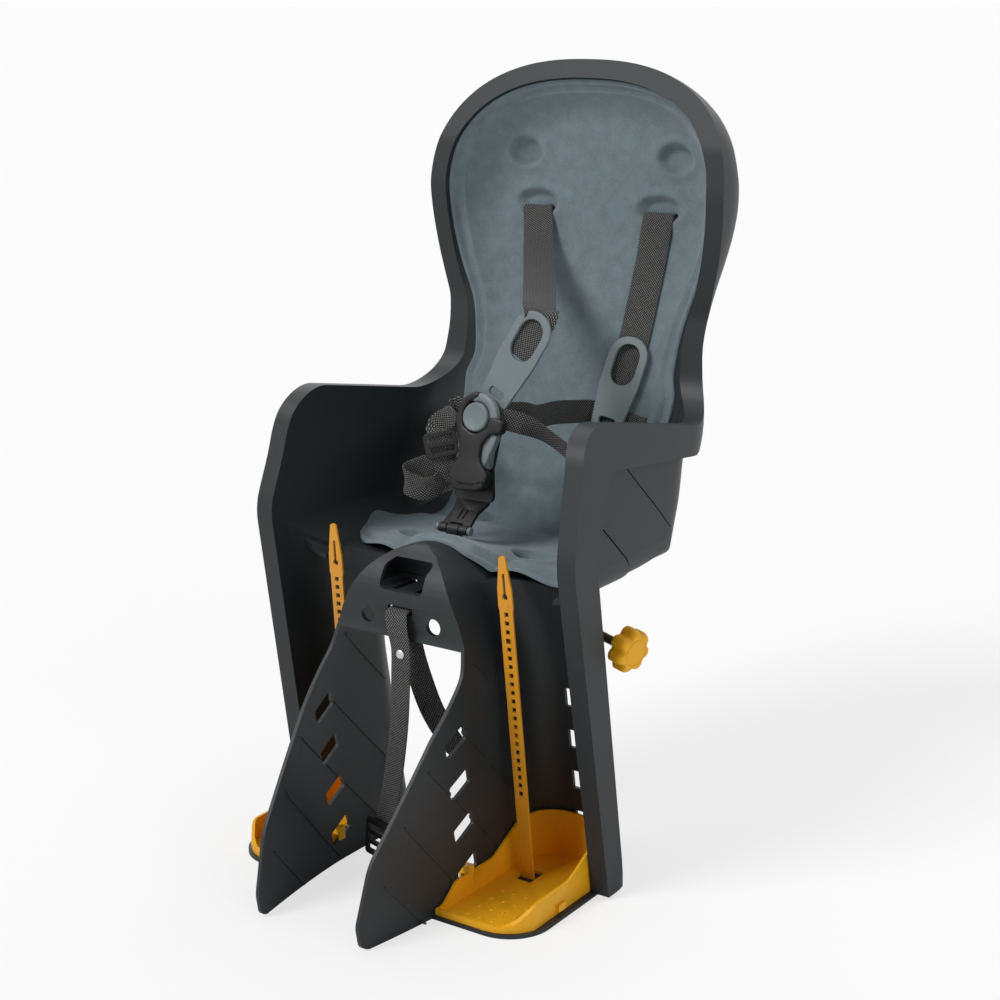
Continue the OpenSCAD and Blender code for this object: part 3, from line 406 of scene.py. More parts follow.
def shell_mesh():
    """The moulding: bucket and wells with a wall, arch front, rim with lip, side steps and their grooves."""
    body = bucket(WALL)
    for w in pair(well(WALL)):
        carve(body, w, "UNION")
    arch = prism("arch", offset_loop(panel_keep(), -3), 0, -90, 90)
    carve(arch, prism("a", panel_keep() + (ARCH_WALL, 0), 0, -95, 95))
    carve(arch, block("a", (-100, -400, -100), (100, 400, ARCH_LOW)))
    carve(arch, block("a", (-100, 60, -10), (100, 400, 400)))
    x = np.linspace(-84.5, 84.5, 61)
    for piece in (arch, block("pocket", (-80, 45, 286), (80, 50, 350))):
        carve(piece, prism("a", np.stack([x, arch_z(x) - 1], 1), 1, -20, 80), "INTERSECT")
        carve(body, piece, "UNION")
    carve(body, bucket(0))
    for w in pair(well(0)):
        carve(body, w)
    front = prism("front", box_line(FRONT_Y - 20, -40, 600, 950), 0, -262, 262)
    carve(front, behind(WING_FRONT))
    carve(front, block("c", (-100, -250, -50), (100, 350, ARCH_TOP + 8)))
    for b in pair(block("c", (50, -250, -50), (float(in_half(0)) + WALL, 350, FLOOR_T))):
        carve(front, b)
    carve(body, front)
    edge = block("edge", (-100, FRONT_Y - 20, -50), (100, FRONT_Y + 380, ARCH_TOP + 8))
    carve(edge, prism("e", panel_keep(), 0, -101, 101))
    carve(edge, block("e", (-101, 180, -51), (101, 580, 449)))
    for b in pair(block("e", (float(tunnel_x(FLOOR_T)), FRONT_Y - 30, -51), (150, 230, FLOOR_T))):
        carve(edge, b)
    carve(body, edge)
    for side in (1, -1):
        loop = well_loop(FLOOR_T, 0.3)[:, :2] * (side, 1)
        cut = prism("floor", loop, 2, 0, 20)
        carve(cut, block("f", (150 * side, FRONT_Y, -1), (210 * side, FRONT_Y + 300, 19)), "UNION")
        carve(cut, block("f", (0, FRONT_Y - 5, -1), (300 * side, 5, FLOOR_T + 0.4)), "INTERSECT")
        carve(cut, prism("f", floor_outline() * (side, 1), 2, -2, 28))
        carve(body, cut)
    carve(body, block("under", (-300, FRONT_Y - 40, -60), (300, 700, 0)))
    carve(body, rim(), "UNION")
    for i, plate in enumerate(SIDE_PLATES):
        step = bucket(WALL + STEP_T * (i + 1))
        carve(step, bucket(WALL - 0.5))
        carve(step, prism("s", rounded(plate, 6), 0, -260, 260), "INTERSECT")
        carve(step, block("s", (-140, -100, -100), (140, 500, 700)))
        carve(body, step, "UNION")
    for i, line in enumerate(STEP_LINES):
        a, b = np.array(line, float)
        n = GROOVE_W * np.array([(a - b)[1], -(a - b)[0]]) / np.linalg.norm(b - a)
        groove = prism("g", np.array([a, b, b + n, a + n]), 0, -260, 260)
        carve(groove, bucket(WALL + STEP_T * (1 - i) - GROOVE_DEPTH))
        carve(groove, block("g", (-141, -100, -100), (141, 500, 700)))
        carve(groove, bucket(WALL + 5.5), "INTERSECT")
        carve(body, groove)
    return body


def rim():
    """Rim that faces forward and the lip that turns back from it."""
    body = bucket_form(RIM_W)
    carve(body, behind(WING_FRONT), "INTERSECT")
    carve(body, block("r", (-300, -300, -50), (300, 900, 3)))
    carve(body, behind(WING_LIP))
    inner = bucket_form(RIM_W - WALL)
    carve(inner, behind(WING_FRONT, WALL), "INTERSECT")
    carve(body, inner)
    carve(body, bucket_form(WALL / 2))
    carve(body, block("r", (-120, 0, -60), (120, 600, 600)))
    return body


def cylinder(name, at, axis, length, radius, steps=48):
    """Cylinder from the point at, running along axis."""
    x = np.array(axis, float) / np.linalg.norm(axis)
    side = np.cross(x, (0.0, 0.0, 1.0) if abs(x[2]) < 0.9 else (1.0, 0.0, 0.0))
    side /= np.linalg.norm(side)
    up = np.cross(x, side)
    t = np.linspace(0, 2 * np.pi, steps, endpoint=False)
    ring = np.cos(t)[:, None] * side + np.sin(t)[:, None] * up
    return loft(name, [at + ring * radius, at + x * length + ring * radius])


PANEL_RIBS = [[11, 243, 80, 173], [-16, 185, 82, 82], [-63, 155, 63, 24], [-95, 109, 0, -1],
              [-120, 57, -63, -7]]


def panel_ribs():
    """Thin slanted ribs on both faces of the panels."""
    form = carve(*pair(well(WALL + 1, 300.0)), "UNION")
    for w in pair(well(-1, 300.0)):
        carve(form, w)
    bars = None
    for y0, z0, y1, z1 in PANEL_RIBS:
        a, b = np.array([y0, z0], float), np.array([y1, z1], float)
        n = np.array([-(b - a)[1], (b - a)[0]]) / np.linalg.norm(b - a)
        bar = prism("bar", np.array([a + n, a - n, b - n, b + n]), 0, -96, 96)
        bars = bar if bars is None else carve(bars, bar, "UNION")
    carve(form, bars, "INTERSECT")
    carve(form, block("k", (-96, FRONT_Y + 4, 0.5), (96, FRONT_Y + 304, 300.5)), "INTERSECT")
    carve(form, prism("k", offset_loop(panel_keep(), 3), 0, -97, 97), "INTERSECT")
    zone = block("k", (-TUNNEL_HALF + 5, FRONT_Y, -1), (TUNNEL_HALF - 5, FRONT_Y + 400, 399))
    carve(zone, block("k", (-97, FRONT_Y, FLOOR_T + 1.2), (97, FRONT_Y + 400, 406)), "UNION")
    return carve(form, zone, "INTERSECT")


HARNESS_SLOTS = ((SHOULDER_X, 22, 330, 420, SLOT_Z, 6), (90, 19, 330, 420, 700, 6),
                 (LAP_X, 4, 200, 330, LAP_Z, 16))


def shell_openings(body):
    """Opening, strap slot and rod holes of the arch, height holes, well slots and harness slots."""
    window = rounded([[-27, 302, 6], [-27, 325, 9], [-18, 332, 5], [30, 332, 4], [25, 322, 5],
                      [25, 302, 5]], 8)
    cuts = [prism("o", window, 1, -30, 42), block("o", (-15, -30, 281), (15, 14, 288))]
    hole = rounded([[-16, 1, 3], [12, 15.5, 3], [16, -1, 3], [-12, -15.5, 3]], 5)
    slot = float(in_half(60)) - 53
    for s in (1, -1):
        cuts.append(cylinder("o", (13.5 * s, 10, 300), (0, 1, 0), 50, 4))
        cuts.append(cylinder("o", (ROD_X * s, -10, ROD_Z), (0, 1, 0), 30, ROD_R, 64))
        for i in range(4):
            z = 48 + HOLE_PITCH * i
            y = float(well_y(z)) - 24
            cuts.append(prism("o", hole + (-3 - 7 * i, 33 + HOLE_PITCH * i), 0, *sorted((50 * s, 100 * s))))
            cuts.append(block("o", (slot * s, y, z - 10), ((slot + 18) * s, y + 60, z + 10)))
        cuts += slot_blocks(HARNESS_SLOTS, s)
    for cut in cuts:
        carve(body, cut)


# Finishes


def shade(obj, angle):
    """Smooth faces, with edges sharper than the angle kept crisp."""
    mesh = obj.data
    made = bmesh.new()
    made.from_mesh(mesh)
    limit = math.radians(angle)
    for f in made.faces:
        f.smooth = True
    for e in made.edges:
        e.smooth = len(e.link_faces) == 2 and e.calc_face_angle(0.0) < limit
    made.to_mesh(mesh)
    made.free()


def bevel(obj, width, segments):
    """Rounds every sharp edge by a width in millimetres."""
    mod = obj.modifiers.new("edges", "BEVEL")
    mod.width, mod.segments = width / 1000, segments
    mod.limit_method, mod.angle_limit = "ANGLE", math.radians(EDGE_ANGLE)
    mod.use_clamp_overlap = True
    mod.miter_outer = "MITER_ARC"
    mod.harden_normals = False


def clean(obj, dist=2e-5):
    """Splits many-sided faces, merges doubles, dissolves slivers and turns the normals outwards."""
    made = bmesh.new()
    made.from_mesh(obj.data)
    bmesh.ops.triangulate(made, faces=[f for f in made.faces if len(f.verts) > 4])
    bmesh.ops.remove_doubles(made, verts=made.verts, dist=dist)
    bmesh.ops.dissolve_degenerate(made, edges=made.edges, dist=dist)
    bmesh.ops.recalc_face_normals(made, faces=made.faces)
    made.to_mesh(obj.data)
    made.free()


def give(obj, material):
    """The object's only material."""
    obj.data.materials.clear()
    obj.data.materials.append(material)


def linked(tree, kind, **sockets):
    """New node of a kind, with socket values or links given by name or index."""
    node = tree.nodes.new(kind)
    for key, value in sockets.items():
        if key == "operation":
            node.operation = value
            continue
        socket = node.inputs[int(key[1:]) if key[0] == "_" else key.replace("_", " ")]
        if isinstance(value, bpy.types.NodeSocket):
            tree.links.new(value, socket)
        else:
            socket.default_value = value
    return node


def maths(tree, how, *values):
    """Result of a maths node of a kind, from values or sockets."""
    sockets = {"_%d" % i: value for i, value in enumerate(values)}
    return linked(tree, "ShaderNodeMath", operation=how, **sockets).outputs[0]


def base_material(name, colour, rough, metallic=0.0, sheen=0.0, specular=0.5):
    """Material with its constants on the shader's sockets, and its tree and shader."""
    mat = bpy.data.materials.new(name)
    mat.use_nodes = True
    shader = mat.node_tree.nodes["Principled BSDF"]
    shader.inputs["Base Color"].default_value = (*colour, 1)
    shader.inputs["Roughness"].default_value = rough
    shader.inputs["Metallic"].default_value = metallic
    shader.inputs["Specular IOR Level"].default_value = specular
    shader.inputs["Sheen Weight"].default_value = sheen
    mat.diffuse_color = (*colour, 1)
    return mat, mat.node_tree, shader


def ramp_and_bump(tree, shader, factor, stops, height, depth, distance):
    """Colour between two stops of position and colour, and a bump of a depth from a height."""
    ramp = tree.nodes.new("ShaderNodeValToRGB")
    for end, (position, colour) in zip(ramp.color_ramp.elements, stops):
        end.position, end.color = position, (*colour, 1)
    tree.links.new(factor, ramp.inputs["Fac"])
    tree.links.new(ramp.outputs["Color"], shader.inputs["Base Color"])
    bump = linked(tree, "ShaderNodeBump", Strength=depth, Distance=distance, Height=height)
    tree.links.new(bump.outputs["Normal"], shader.inputs["Normal"])


def mottled(name, colour, rough, grain, depth, spread, cloud, **more):
    """Material whose colour varies by spread in soft clouds, with a grain of that many millimetres."""
    mat, tree, shader = base_material(name, colour, rough, **more)
    where = tree.nodes.new("ShaderNodeTexCoord").outputs["Object"]
    soft = linked(tree, "ShaderNodeTexNoise", Vector=where, Scale=1000 / cloud, Detail=3.0)
    fine = linked(tree, "ShaderNodeTexNoise", Vector=where, Scale=1000 / grain, Detail=2.0, Roughness=0.6)
    half = maths(tree, "MULTIPLY", maths(tree, "ADD", soft.outputs["Fac"], fine.outputs["Fac"]), 0.5)
    dark, light = ([min(1, c * factor) for c in colour] for factor in (1 - spread, 1 + spread))
    ramp_and_bump(tree, shader, half, ((0.35, dark), (0.65, light)), fine.outputs["Fac"], depth,
                  grain / 4000)
    return mat


def woven(name, dark, light, pitch):
    """Webbing: light yarns that cross a dark ground on a grid, laid out on the band's own map."""
    mat, tree, shader = base_material(name, dark, 0.7, sheen=0.15, specular=0.2)
    shader.inputs["Sheen Roughness"].default_value = 0.4
    at = linked(tree, "ShaderNodeSeparateXYZ", Vector=tree.nodes.new("ShaderNodeUVMap").outputs["UV"])
    wave = [maths(tree, "SINE", maths(tree, "MULTIPLY", at.outputs[axis], 2000 * math.pi / pitch))
            for axis in (0, 1)]
    cross = maths(tree, "MULTIPLY", *wave)
    where = tree.nodes.new("ShaderNodeTexCoord").outputs["Object"]
    fuzz = linked(tree, "ShaderNodeTexNoise", Vector=where, Scale=900.0, Detail=2.0)
    yarn = maths(tree, "MULTIPLY_ADD", fuzz.outputs["Fac"], 0.9, cross)
    ramp_and_bump(tree, shader, yarn, ((0.5, dark), (1.0, light)), yarn, 0.6, 0.0004)
    return mat


# The pad, laid out on rows that run outwards from a spine


PAD_BACK = rounded([[-122, 300, 0], [122, 300, 0], [128, 400, 20], [136, 480, 60], [146, 540, 60],
                    [172, 660, 80], [158, 766, 60], [88, 802, 50], [-88, 802, 50], [-158, 766, 60],
                    [-172, 660, 80], [-146, 540, 60], [-136, 480, 60], [-128, 400, 20]], 8)
PAD_SEAT = rounded([[-122, 300, 0], [-122, 230, 20], [-150, 212, 16], [-166, 146, 30], [-160, 80, 50],
                    [-64, 80, 20], [-34, 62, 12], [34, 62, 12], [64, 80, 20], [160, 80, 50],
                    [166, 146, 30], [150, 212, 16], [122, 230, 20], [122, 300, 0]], 8)


def crease_frame(g):
    """Corner point, outward normal of the back's line and centre of the crease's arc, for growth g."""
    y0, z0 = back_y(PAN_Z - np.minimum(g, 0)) + g, PAN_Z - g
    ty, tz = float(back_y(BEND_Z)) + g + 0.5 - y0, BEND_Z - z0
    size = np.hypot(ty, tz)
    ny, nz = tz / size, -ty / size
    radius = BED + g
    return y0, z0, ny, nz, y0 - radius * (1 + nz) / ny, z0 + radius, radius


def room(p, g):
    """How far points are from the bucket grown by g: the least of back, pan and crease, negative outside."""
    x, y, z = np.abs(p[..., 0]), p[..., 1], p[..., 2]
    up = np.maximum(z - HEAD_Z, 0)
    a, b = HEAD_HALF - RIM_W + g, TOTAL_H - RIM_W - HEAD_Z + g
    r = np.hypot(x, up)
    oval = ((x / a) ** HEAD_N + (up / b) ** HEAD_N) ** (1 / HEAD_N)
    w = np.where(z > HEAD_Z, r / np.maximum(oval, 1e-9), in_half(z) + g)
    q = DISH_R + g
    u = (r - (w - q)) / q
    back = np.where(u >= 1, -1.0, back_y(z) + g - q * (1 - np.sqrt(1 - np.clip(u, 0, 1) ** 2)) - y)
    w, q = in_half(PAN_Z) + g + 0.5, PAN_R + g
    u = (x - (w - q)) / q
    edge = PAN_EDGE - g
    top = np.maximum(0, (arch_z(x * (edge + g) / edge) - PAN_Z) * hump(y))
    side = PAN_R - q * np.sqrt(1 - np.clip(u, 0, 1) ** 2)
    bed = PAN_Z + np.where(x < edge, top - g, np.where(u > 0, side, -g))
    pan = np.where(u >= 1, -1.0, z - bed)
    y0, z0, ny, nz, yc, zc, radius = crease_frame(g)
    vy, vz = y - yc, z - zc
    beta = vy / ny
    alpha = beta * nz - vz
    flat = np.minimum(z - z0, -((y - y0) * ny + (z - z0) * nz))
    crease = np.where((alpha > 0) & (beta > 0), radius - np.hypot(vy, vz), flat)
    return np.minimum(np.minimum(back, pan), crease)


def bed_path():
    """Side line of the bed from the head to the front: length, y, z and outward normal at each step."""
    _, _, ny, nz, yc, zc, radius = crease_frame(0.0)
    z = np.arange(HEAD_Z, zc + nz * radius, -1.0)
    k = BACK_LEAN * (1 - np.clip((z - BEND_Z) / (UPRIGHT_Z - BEND_Z), 0, 1))
    n = np.stack([np.ones_like(k), -k], 1) / np.hypot(1, k)[:, None]
    turn = np.linspace(math.atan2(nz, ny), -math.pi / 2, 70)
    arc = np.stack([np.cos(turn), np.sin(turn)], 1)
    y = np.arange(yc - 1, 40, -1.0)
    points = np.concatenate([np.stack([back_y(z), z], 1), (yc, zc) + arc * radius,
                             np.stack([y, np.full_like(y, PAN_Z)], 1)])
    normals = np.concatenate([n, arc, np.tile([0.0, -1.0], (len(y), 1))])
    s = np.concatenate([[0], np.cumsum(np.linalg.norm(np.diff(points, axis=0), axis=1))])
    return s, points, normals, yc


def pad_rays(s, turn, c):
    """Origin and direction of each ray: at length s down the spine, turned over the head, at reach c."""
    length, points, normals, _ = bed_path()
    y, z = np.interp(s, length, points[:, 0]), np.interp(s, length, points[:, 1])
    ny, nz = np.interp(s, length, normals[:, 0]), np.interp(s, length, normals[:, 1])
    size = np.hypot(ny, nz)
    n = np.stack([np.zeros_like(ny), ny / size, nz / size], -1)
    out = np.stack([np.cos(turn), np.zeros_like(turn), np.sin(turn)], -1)
    a, b = HEAD_HALF - RIM_W, TOTAL_H - RIM_W - HEAD_Z
    wall = 1 / ((np.abs(np.cos(turn)) / a) ** HEAD_N + (np.abs(np.sin(turn)) / b) ** HEAD_N) ** (1 / HEAD_N)
    flat = np.where(turn > 0, wall, in_half(np.maximum(z, PAN_Z))) - BED
    phi = np.clip((c - flat) / BED, 0, math.pi / 2)
    over = np.maximum(0, c - flat - BED * math.pi / 2)
    start = np.stack([np.zeros_like(y), y, z], -1) - BED * n
    start = start + out * np.minimum(c, flat)[..., None] - n * over[..., None]
    return start, n * np.cos(phi)[..., None] + out * np.sin(phi)[..., None]


def meet(s, turn, c, g):
    """Where each ray meets the bucket grown by g, found by halving."""
    start, way = pad_rays(s, turn, c)
    low, high = np.zeros_like(c), np.full_like(c, 90.0)
    for _ in range(34):
        mid = (low + high) / 2
        inside = room(start + way * mid[..., None], g) > 0
        low, high = np.where(inside, mid, low), np.where(inside, high, mid)
    return start + way * low[..., None]


def in_outline(line, a, b):
    """Whether points (a, b) lie inside a closed outline."""
    hit = np.zeros(a.shape, bool)
    for (x0, y0), (x1, y1) in zip(line, np.roll(line, -1, 0)):
        if y0 != y1:
            cross = (y0 > b) != (y1 > b)
            hit ^= cross & (a < (x1 - x0) * (b - y0) / (y1 - y0) + x0)
    return hit


def pad_kept(p):
    """Whether points on the bed belong to the pad: its back or its seat outline, and behind the rim."""
    x, y, z = np.abs(p[..., 0]), p[..., 1], p[..., 2]
    front = offset_loop(behind_line(WING_FRONT), 6)
    back = (z >= 352) & in_outline(PAD_BACK, x, z) & in_outline(front, y, z)
    return back | ((z < 355) & in_outline(PAD_SEAT, x, y))


def reach(s, turn):
    """Reach at which each row leaves the pad."""
    c = np.linspace(60, 215, 311)
    cs = np.broadcast_to(c, (len(s), len(c)))
    shape = cs.shape
    p = meet(np.broadcast_to(s[:, None], shape), np.broadcast_to(turn[:, None], shape), cs, -PAD_GAP)
    kept = pad_kept(p)
    last = np.where(kept.all(1), len(c) - 1, np.argmax(~kept, 1) - 1)
    return c[np.maximum(last, 0)]


def smooth(values, times):
    """Values averaged with their neighbours a number of times, with the ends kept."""
    v = values.copy()
    for _ in range(times):
        v[1:-1] = (v[:-2] + 2 * v[1:-1] + v[2:]) / 4
    return v


NEAR = np.array([0, 0.12, 0.4, 0.9, 1.5, 2.2, 4, 7, 9.5, 11, 12.5, 14, 15.5, 17, 18.5, 20, 22, 24.5])
LEVEL_RUN, EVEN_RUN = 150.0, 30.0


def pad_grid(step):
    """Pad's right half as a grid: length down the spine, turn over the head, reach and edge distance."""
    length, _, _, yc = bed_path()
    flat_s = length[len(length) - len(np.arange(yc - 1, 40, -1.0))]
    front = PAD_SEAT[(PAD_SEAT[:, 1] < 112) & (PAD_SEAT[:, 0] >= 0)]
    front = front[np.argsort(front[:, 0])]
    level = np.linspace(flat_s + yc - 90, flat_s, 40)
    rows_s = np.concatenate([level[:-1], np.linspace(flat_s, 0, int(flat_s / step) + 1)])
    edges = smooth(reach(rows_s, np.zeros_like(rows_s)), 6)
    turns = np.linspace(0, math.pi / 2, int(190 / step) + 1)[1:]
    fan = reach(np.zeros_like(turns), turns)
    whole = smooth(np.concatenate([edges, fan]), 6)
    edges, fan = whole[:len(edges)], whole[len(edges):]
    near = NEAR if step < 6 else NEAR[::3]
    pan = np.concatenate([near, np.linspace(near[-1], LEVEL_RUN, int(130 / step))[1:]])
    s, turn, c = [], [], []

    def front_s(x):
        """Length at which the seat lobe's front edge lies at half width x."""
        return flat_s + yc - np.interp(x, front[:, 0], front[:, 1])

    def add(row_s, row_turn, edge):
        """One row from its edge to the middle, with a length or a function for it."""
        inner = np.linspace(edge - near[-1], 0, int(150 / step) + 1)[1:]
        cc = np.concatenate([edge - near, inner])
        s.append(row_s(cc) if callable(row_s) else np.full_like(cc, row_s))
        turn.append(np.full_like(cc, row_turn))
        c.append(cc)

    for gap in pan:
        share = 1 - gap / LEVEL_RUN
        edge = float(np.interp(-(flat_s + (front_s(152.0) - flat_s) * share), -rows_s, edges))

        def along(cc, gap=gap):
            """Rows near the front keep their distance to it, and the others share what is left."""
            if gap < EVEN_RUN:
                return np.maximum(flat_s, front_s(cc) - gap)
            return flat_s + (front_s(cc) - EVEN_RUN - flat_s) * (LEVEL_RUN - gap) / (LEVEL_RUN - EVEN_RUN)

        add(along, 0.0, edge)
    for row_s, edge in zip(rows_s, edges):
        if row_s < flat_s - step / 2:
            add(float(row_s), 0.0, float(edge))
    for angle, edge in zip(turns, fan):
        add(0.0, float(angle), float(edge))
    s, turn, c = np.array(s), np.array(turn), np.array(c)
    side = c[:, :1] - c
    lead = np.where(s > flat_s, np.abs(front_s(c) - s), 1e3)
    return s, turn, c, np.minimum(side, lead)


DIMPLES = [(SHOULDER_X, 645, 24, 13, 1), (95, 700, 19, 14, 1), (73, 125, 20, 14, 2), (60, 229, 15, 8, 2)]


def pad_height(p, d, rise):
    """Height of the pad's face over its bed: a flat border, a step, a soft body, dimples and the fold."""
    lip = np.sqrt(np.clip(1 - (1 - np.minimum(d, 2.0) / 2.0) ** 2, 0, 1))
    body = ease(3.0, PAD_T, (d - 8.5) / 9.0)
    h = body + rise
    x, y, z = np.abs(p[..., 0]), p[..., 1], p[..., 2]
    for cx, cv, rx, rv, axis in DIMPLES:
        v = z if axis == 1 else y
        hit = (z > 400) if axis == 1 else (z < 380)
        q = np.hypot((x - cx) / rx, (v - cv) / rv)
        sink = np.where(hit, 1 - ease(0, 1, (q - 0.78) / 0.42), 0)
        dome = 2.2 * np.exp(-((q - 1.35) / 0.35) ** 2) * hit * np.clip((d - 16) / 10, 0, 1)
        h = (h + dome) * (1 - sink) + np.minimum(h, 1.6) * sink
    fold = np.exp(-(((y - 236) * 0.66 - (z - 322) * 0.75) / 5.0) ** 2) * (z < 372) * (z > 306) * (y > 195)
    return np.maximum(lip * (h - 3.2 * fold * np.clip(d / 12, 0, 1)), 0)


def puff(amount):
    """Cloth run on a coarse copy of the pad's face, returned as a rise for each point of its grid."""
    s, turn, c, d = pad_grid(9.0)
    base = meet(s, turn, c, np.full_like(c, -PAD_GAP))
    face = meet(s, turn, c, -PAD_GAP - pad_height(base, d, 0.0))
    rows, cols = c.shape
    both = np.concatenate([face.reshape(-1, 3), face.reshape(-1, 3) * (-1, 1, 1)])
    quads = grid_faces(rows, cols, closed=False)
    faces = [q[::-1] for q in quads] + [[v + rows * cols for v in q] for q in quads]
    mesh = bpy.data.meshes.new("puff")
    mesh.from_pydata(place(both).tolist(), [], faces)
    obj = bpy.data.objects.new("puff", mesh)
    bpy.context.scene.collection.objects.link(obj)
    group = obj.vertex_groups.new(name="held")
    held = np.clip(1.2 - (pad_height(base, d, 0.0) - 3.4) / 5, 0, 1) * (d < 24) + (d < 18)
    dip = pad_height(base, np.full_like(d, 99.0), 0.0)
    held = np.clip(np.maximum(held, (PAD_T - dip) / 3), 0, 1).reshape(-1)
    for i, w in enumerate(np.concatenate([held, held])):
        group.add([i], float(w), "REPLACE")
    mod = obj.modifiers.new("cloth", "CLOTH")
    mod.settings.quality = 5
    mod.settings.mass = 0.3
    mod.settings.tension_stiffness = mod.settings.compression_stiffness = 25
    mod.settings.bending_stiffness = 4
    mod.settings.use_pressure = True
    mod.settings.uniform_pressure_force = 4
    mod.settings.vertex_group_mass = "held"
    mod.settings.effector_weights.gravity = 0
    mod.collision_settings.use_collision = False
    scene = bpy.context.scene
    for frame_number in range(1, 21):
        scene.frame_set(frame_number)
    done = obj.evaluated_get(bpy.context.evaluated_depsgraph_get()).to_mesh()
    moved = np.empty(len(both) * 3)
    done.vertices.foreach_get("co", moved)
    moved = moved.reshape(-1, 3) * 1000 + (0, 0, ROD_Z)
    _, way = pad_rays(s, turn, c)
    move = moved[:rows * cols].reshape(rows, cols, 3) - face
    rise = -np.sum(move * way, -1)
    bpy.data.objects.remove(obj)
    scene.frame_set(1)
    return np.clip(rise, -1.0, amount) * np.clip((d - 14) / 14, 0, 1)


def resample(field, rows, cols):
    """Grid of values brought to another number of rows and columns by interpolation along both."""
    r = np.linspace(0, field.shape[0] - 1, rows)
    tall = np.stack([np.interp(r, np.arange(field.shape[0]), field[:, j]) for j in range(field.shape[1])], 1)
    q = np.linspace(0, field.shape[1] - 1, cols)
    return np.stack([np.interp(q, np.arange(field.shape[1]), row) for row in tall])


def draw_back(p):
    """Left half of the pad with its front corner drawn back into a round lobe."""
    p = p.copy()
    x, y = p[..., 0], p[..., 1]
    t = np.clip((-60 - x) / 100, 0, 1)
    p[..., 1] = y + 46 * t ** 1.8 * np.clip((205 - y) / 125, 0, 1.1) * (p[..., 2] < 352)
    return p


PAD_SLOTS = ((SHOULDER_X, 19.3, 330, 420, SLOT_Z, 4), (LAP_X, 3, 240, 330, LAP_Z, 17),
             (73, 5, 123, 126, 317.5, 27.5), (60, 9, 227, 230.5, 317.5, 27.5))
MIDDLE_SLOTS = ((0, 9, 83, 101, 335, 45), (-51, 2, 40, 84, 335, 45))


def pad_mesh(step, amount):
    """Closed pad: the face over its bed, the underside on the bed, and slots cut through both."""
    s, turn, c, d = pad_grid(step)
    rise = np.zeros_like(c) if (amount <= 0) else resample(puff(amount), *c.shape)
    under = meet(s, turn, c, np.full_like(c, -PAD_GAP))
    face = meet(s, turn, c, -PAD_GAP - pad_height(under, d, rise))
    face[d <= 0] = under[d <= 0]
    x, y = under[..., 0], under[..., 1]
    lift = 13 * np.exp(-((x - 82) / 32) ** 2) * np.exp(-np.maximum(y - 70, 0) / 34) * (under[..., 2] < 380)
    under[..., 2] += lift
    face[..., 2] += lift
    left = [draw_back(grid * (-1, 1, 1)) for grid in (face, under)]
    face[:, -1, 0] = under[:, -1, 0] = 0
    rows, cols = c.shape
    quads = grid_faces(rows, cols, closed=False)
    points, faces = [], []
    for k, (grid, flip) in enumerate(((face, True), (left[0], False), (under, False), (left[1], True))):
        points.append(grid.reshape(-1, 3))
        faces += [[v + k * rows * cols for v in (q[::-1] if flip else q)] for q in quads]
    pad = make_object("pad", np.concatenate(points), faces)
    clean(pad)
    for cut in (*slot_blocks(PAD_SLOTS, 1), *slot_blocks(PAD_SLOTS, -1), *slot_blocks(MIDDLE_SLOTS, 1)):
        carve(pad, cut)
    return pad


# Webbing


def unit(v):
    """Vector of length one, along the last axis."""
    v = np.asarray(v, float)
    return v / np.linalg.norm(v, axis=-1, keepdims=True)


def spline(points, steps):
    """Smooth curve through points, with a number of steps in each span."""
    p = np.asarray(points, float)
    p = np.concatenate([p[:1], p, p[-1:]])
    t = (np.arange(steps) / steps)[None, :, None]
    a, b, c, d = (p[i:len(p) - 3 + i, None, :] for i in range(4))
    square, cube = 2 * a - 5 * b + 4 * c - d, 3 * b - a - 3 * c + d
    curve = 0.5 * (2 * b + (c - a) * t + square * t * t + cube * t ** 3)
    return np.concatenate([curve.reshape(-1, 3), p[-1:]])


def band_rings(route, width):
    """Rings of a flat band with rounded edges, and how far each point is along and across it."""
    pts = spline([r[0] for r in route], WEB_STEPS)
    across = spline([r[1] for r in route], WEB_STEPS)
    u = unit(np.gradient(pts, axis=0))
    v = unit(across - u * np.sum(across * u, 1, keepdims=True))
    n = np.cross(u, v)
    r = WEB_T / 2
    turn = np.linspace(-math.pi / 2, math.pi / 2, 5)
    flat = np.linspace(-1, 1, 7)[1:-1] * (width / 2 - r)
    right = np.stack([width / 2 - r + r * np.cos(turn), r * np.sin(turn)], 1)
    top = np.stack([flat[::-1], np.full(5, r)], 1)
    ring = np.concatenate([right, top, -right, -top])
    along = np.concatenate([[0], np.cumsum(np.linalg.norm(np.diff(pts, axis=0), axis=1))])
    loops = pts[:, None] + ring[None, :, :1] * v[:, None] + ring[None, :, 1:] * n[:, None]
    return loops, np.stack(np.broadcast_arrays(along[:, None], ring[None, :, 0]), -1)


def webbing(name, runs):
    """One mesh of several bands, each a route and a width, with a map in metres along and across them."""
    points, faces, spots = [], [], []
    for route, width in runs:
        loops, spot = band_rings(route, width)
        first = sum(len(p) for p in points)
        faces += [[first + v for v in q] for q in tube_faces(*loops.shape[:2])]
        points.append(loops.reshape(-1, 3))
        spots.append(spot.reshape(-1, 2))
    spots = np.concatenate(spots) / 1000
    obj = make_object(name, np.concatenate(points), faces)
    layer = obj.data.uv_layers.new(name="weave")
    corners = np.empty(len(obj.data.loops), np.int32)
    obj.data.loops.foreach_get("vertex_index", corners)
    layer.data.foreach_set("uv", spots[corners].astype(np.float32).reshape(-1))
    shade(obj, 50)
    return obj


def pad_y(z):
    """Front face of the pad's body at height z on the middle plane."""
    return float(back_y(z)) - PAD_GAP - PAD_T


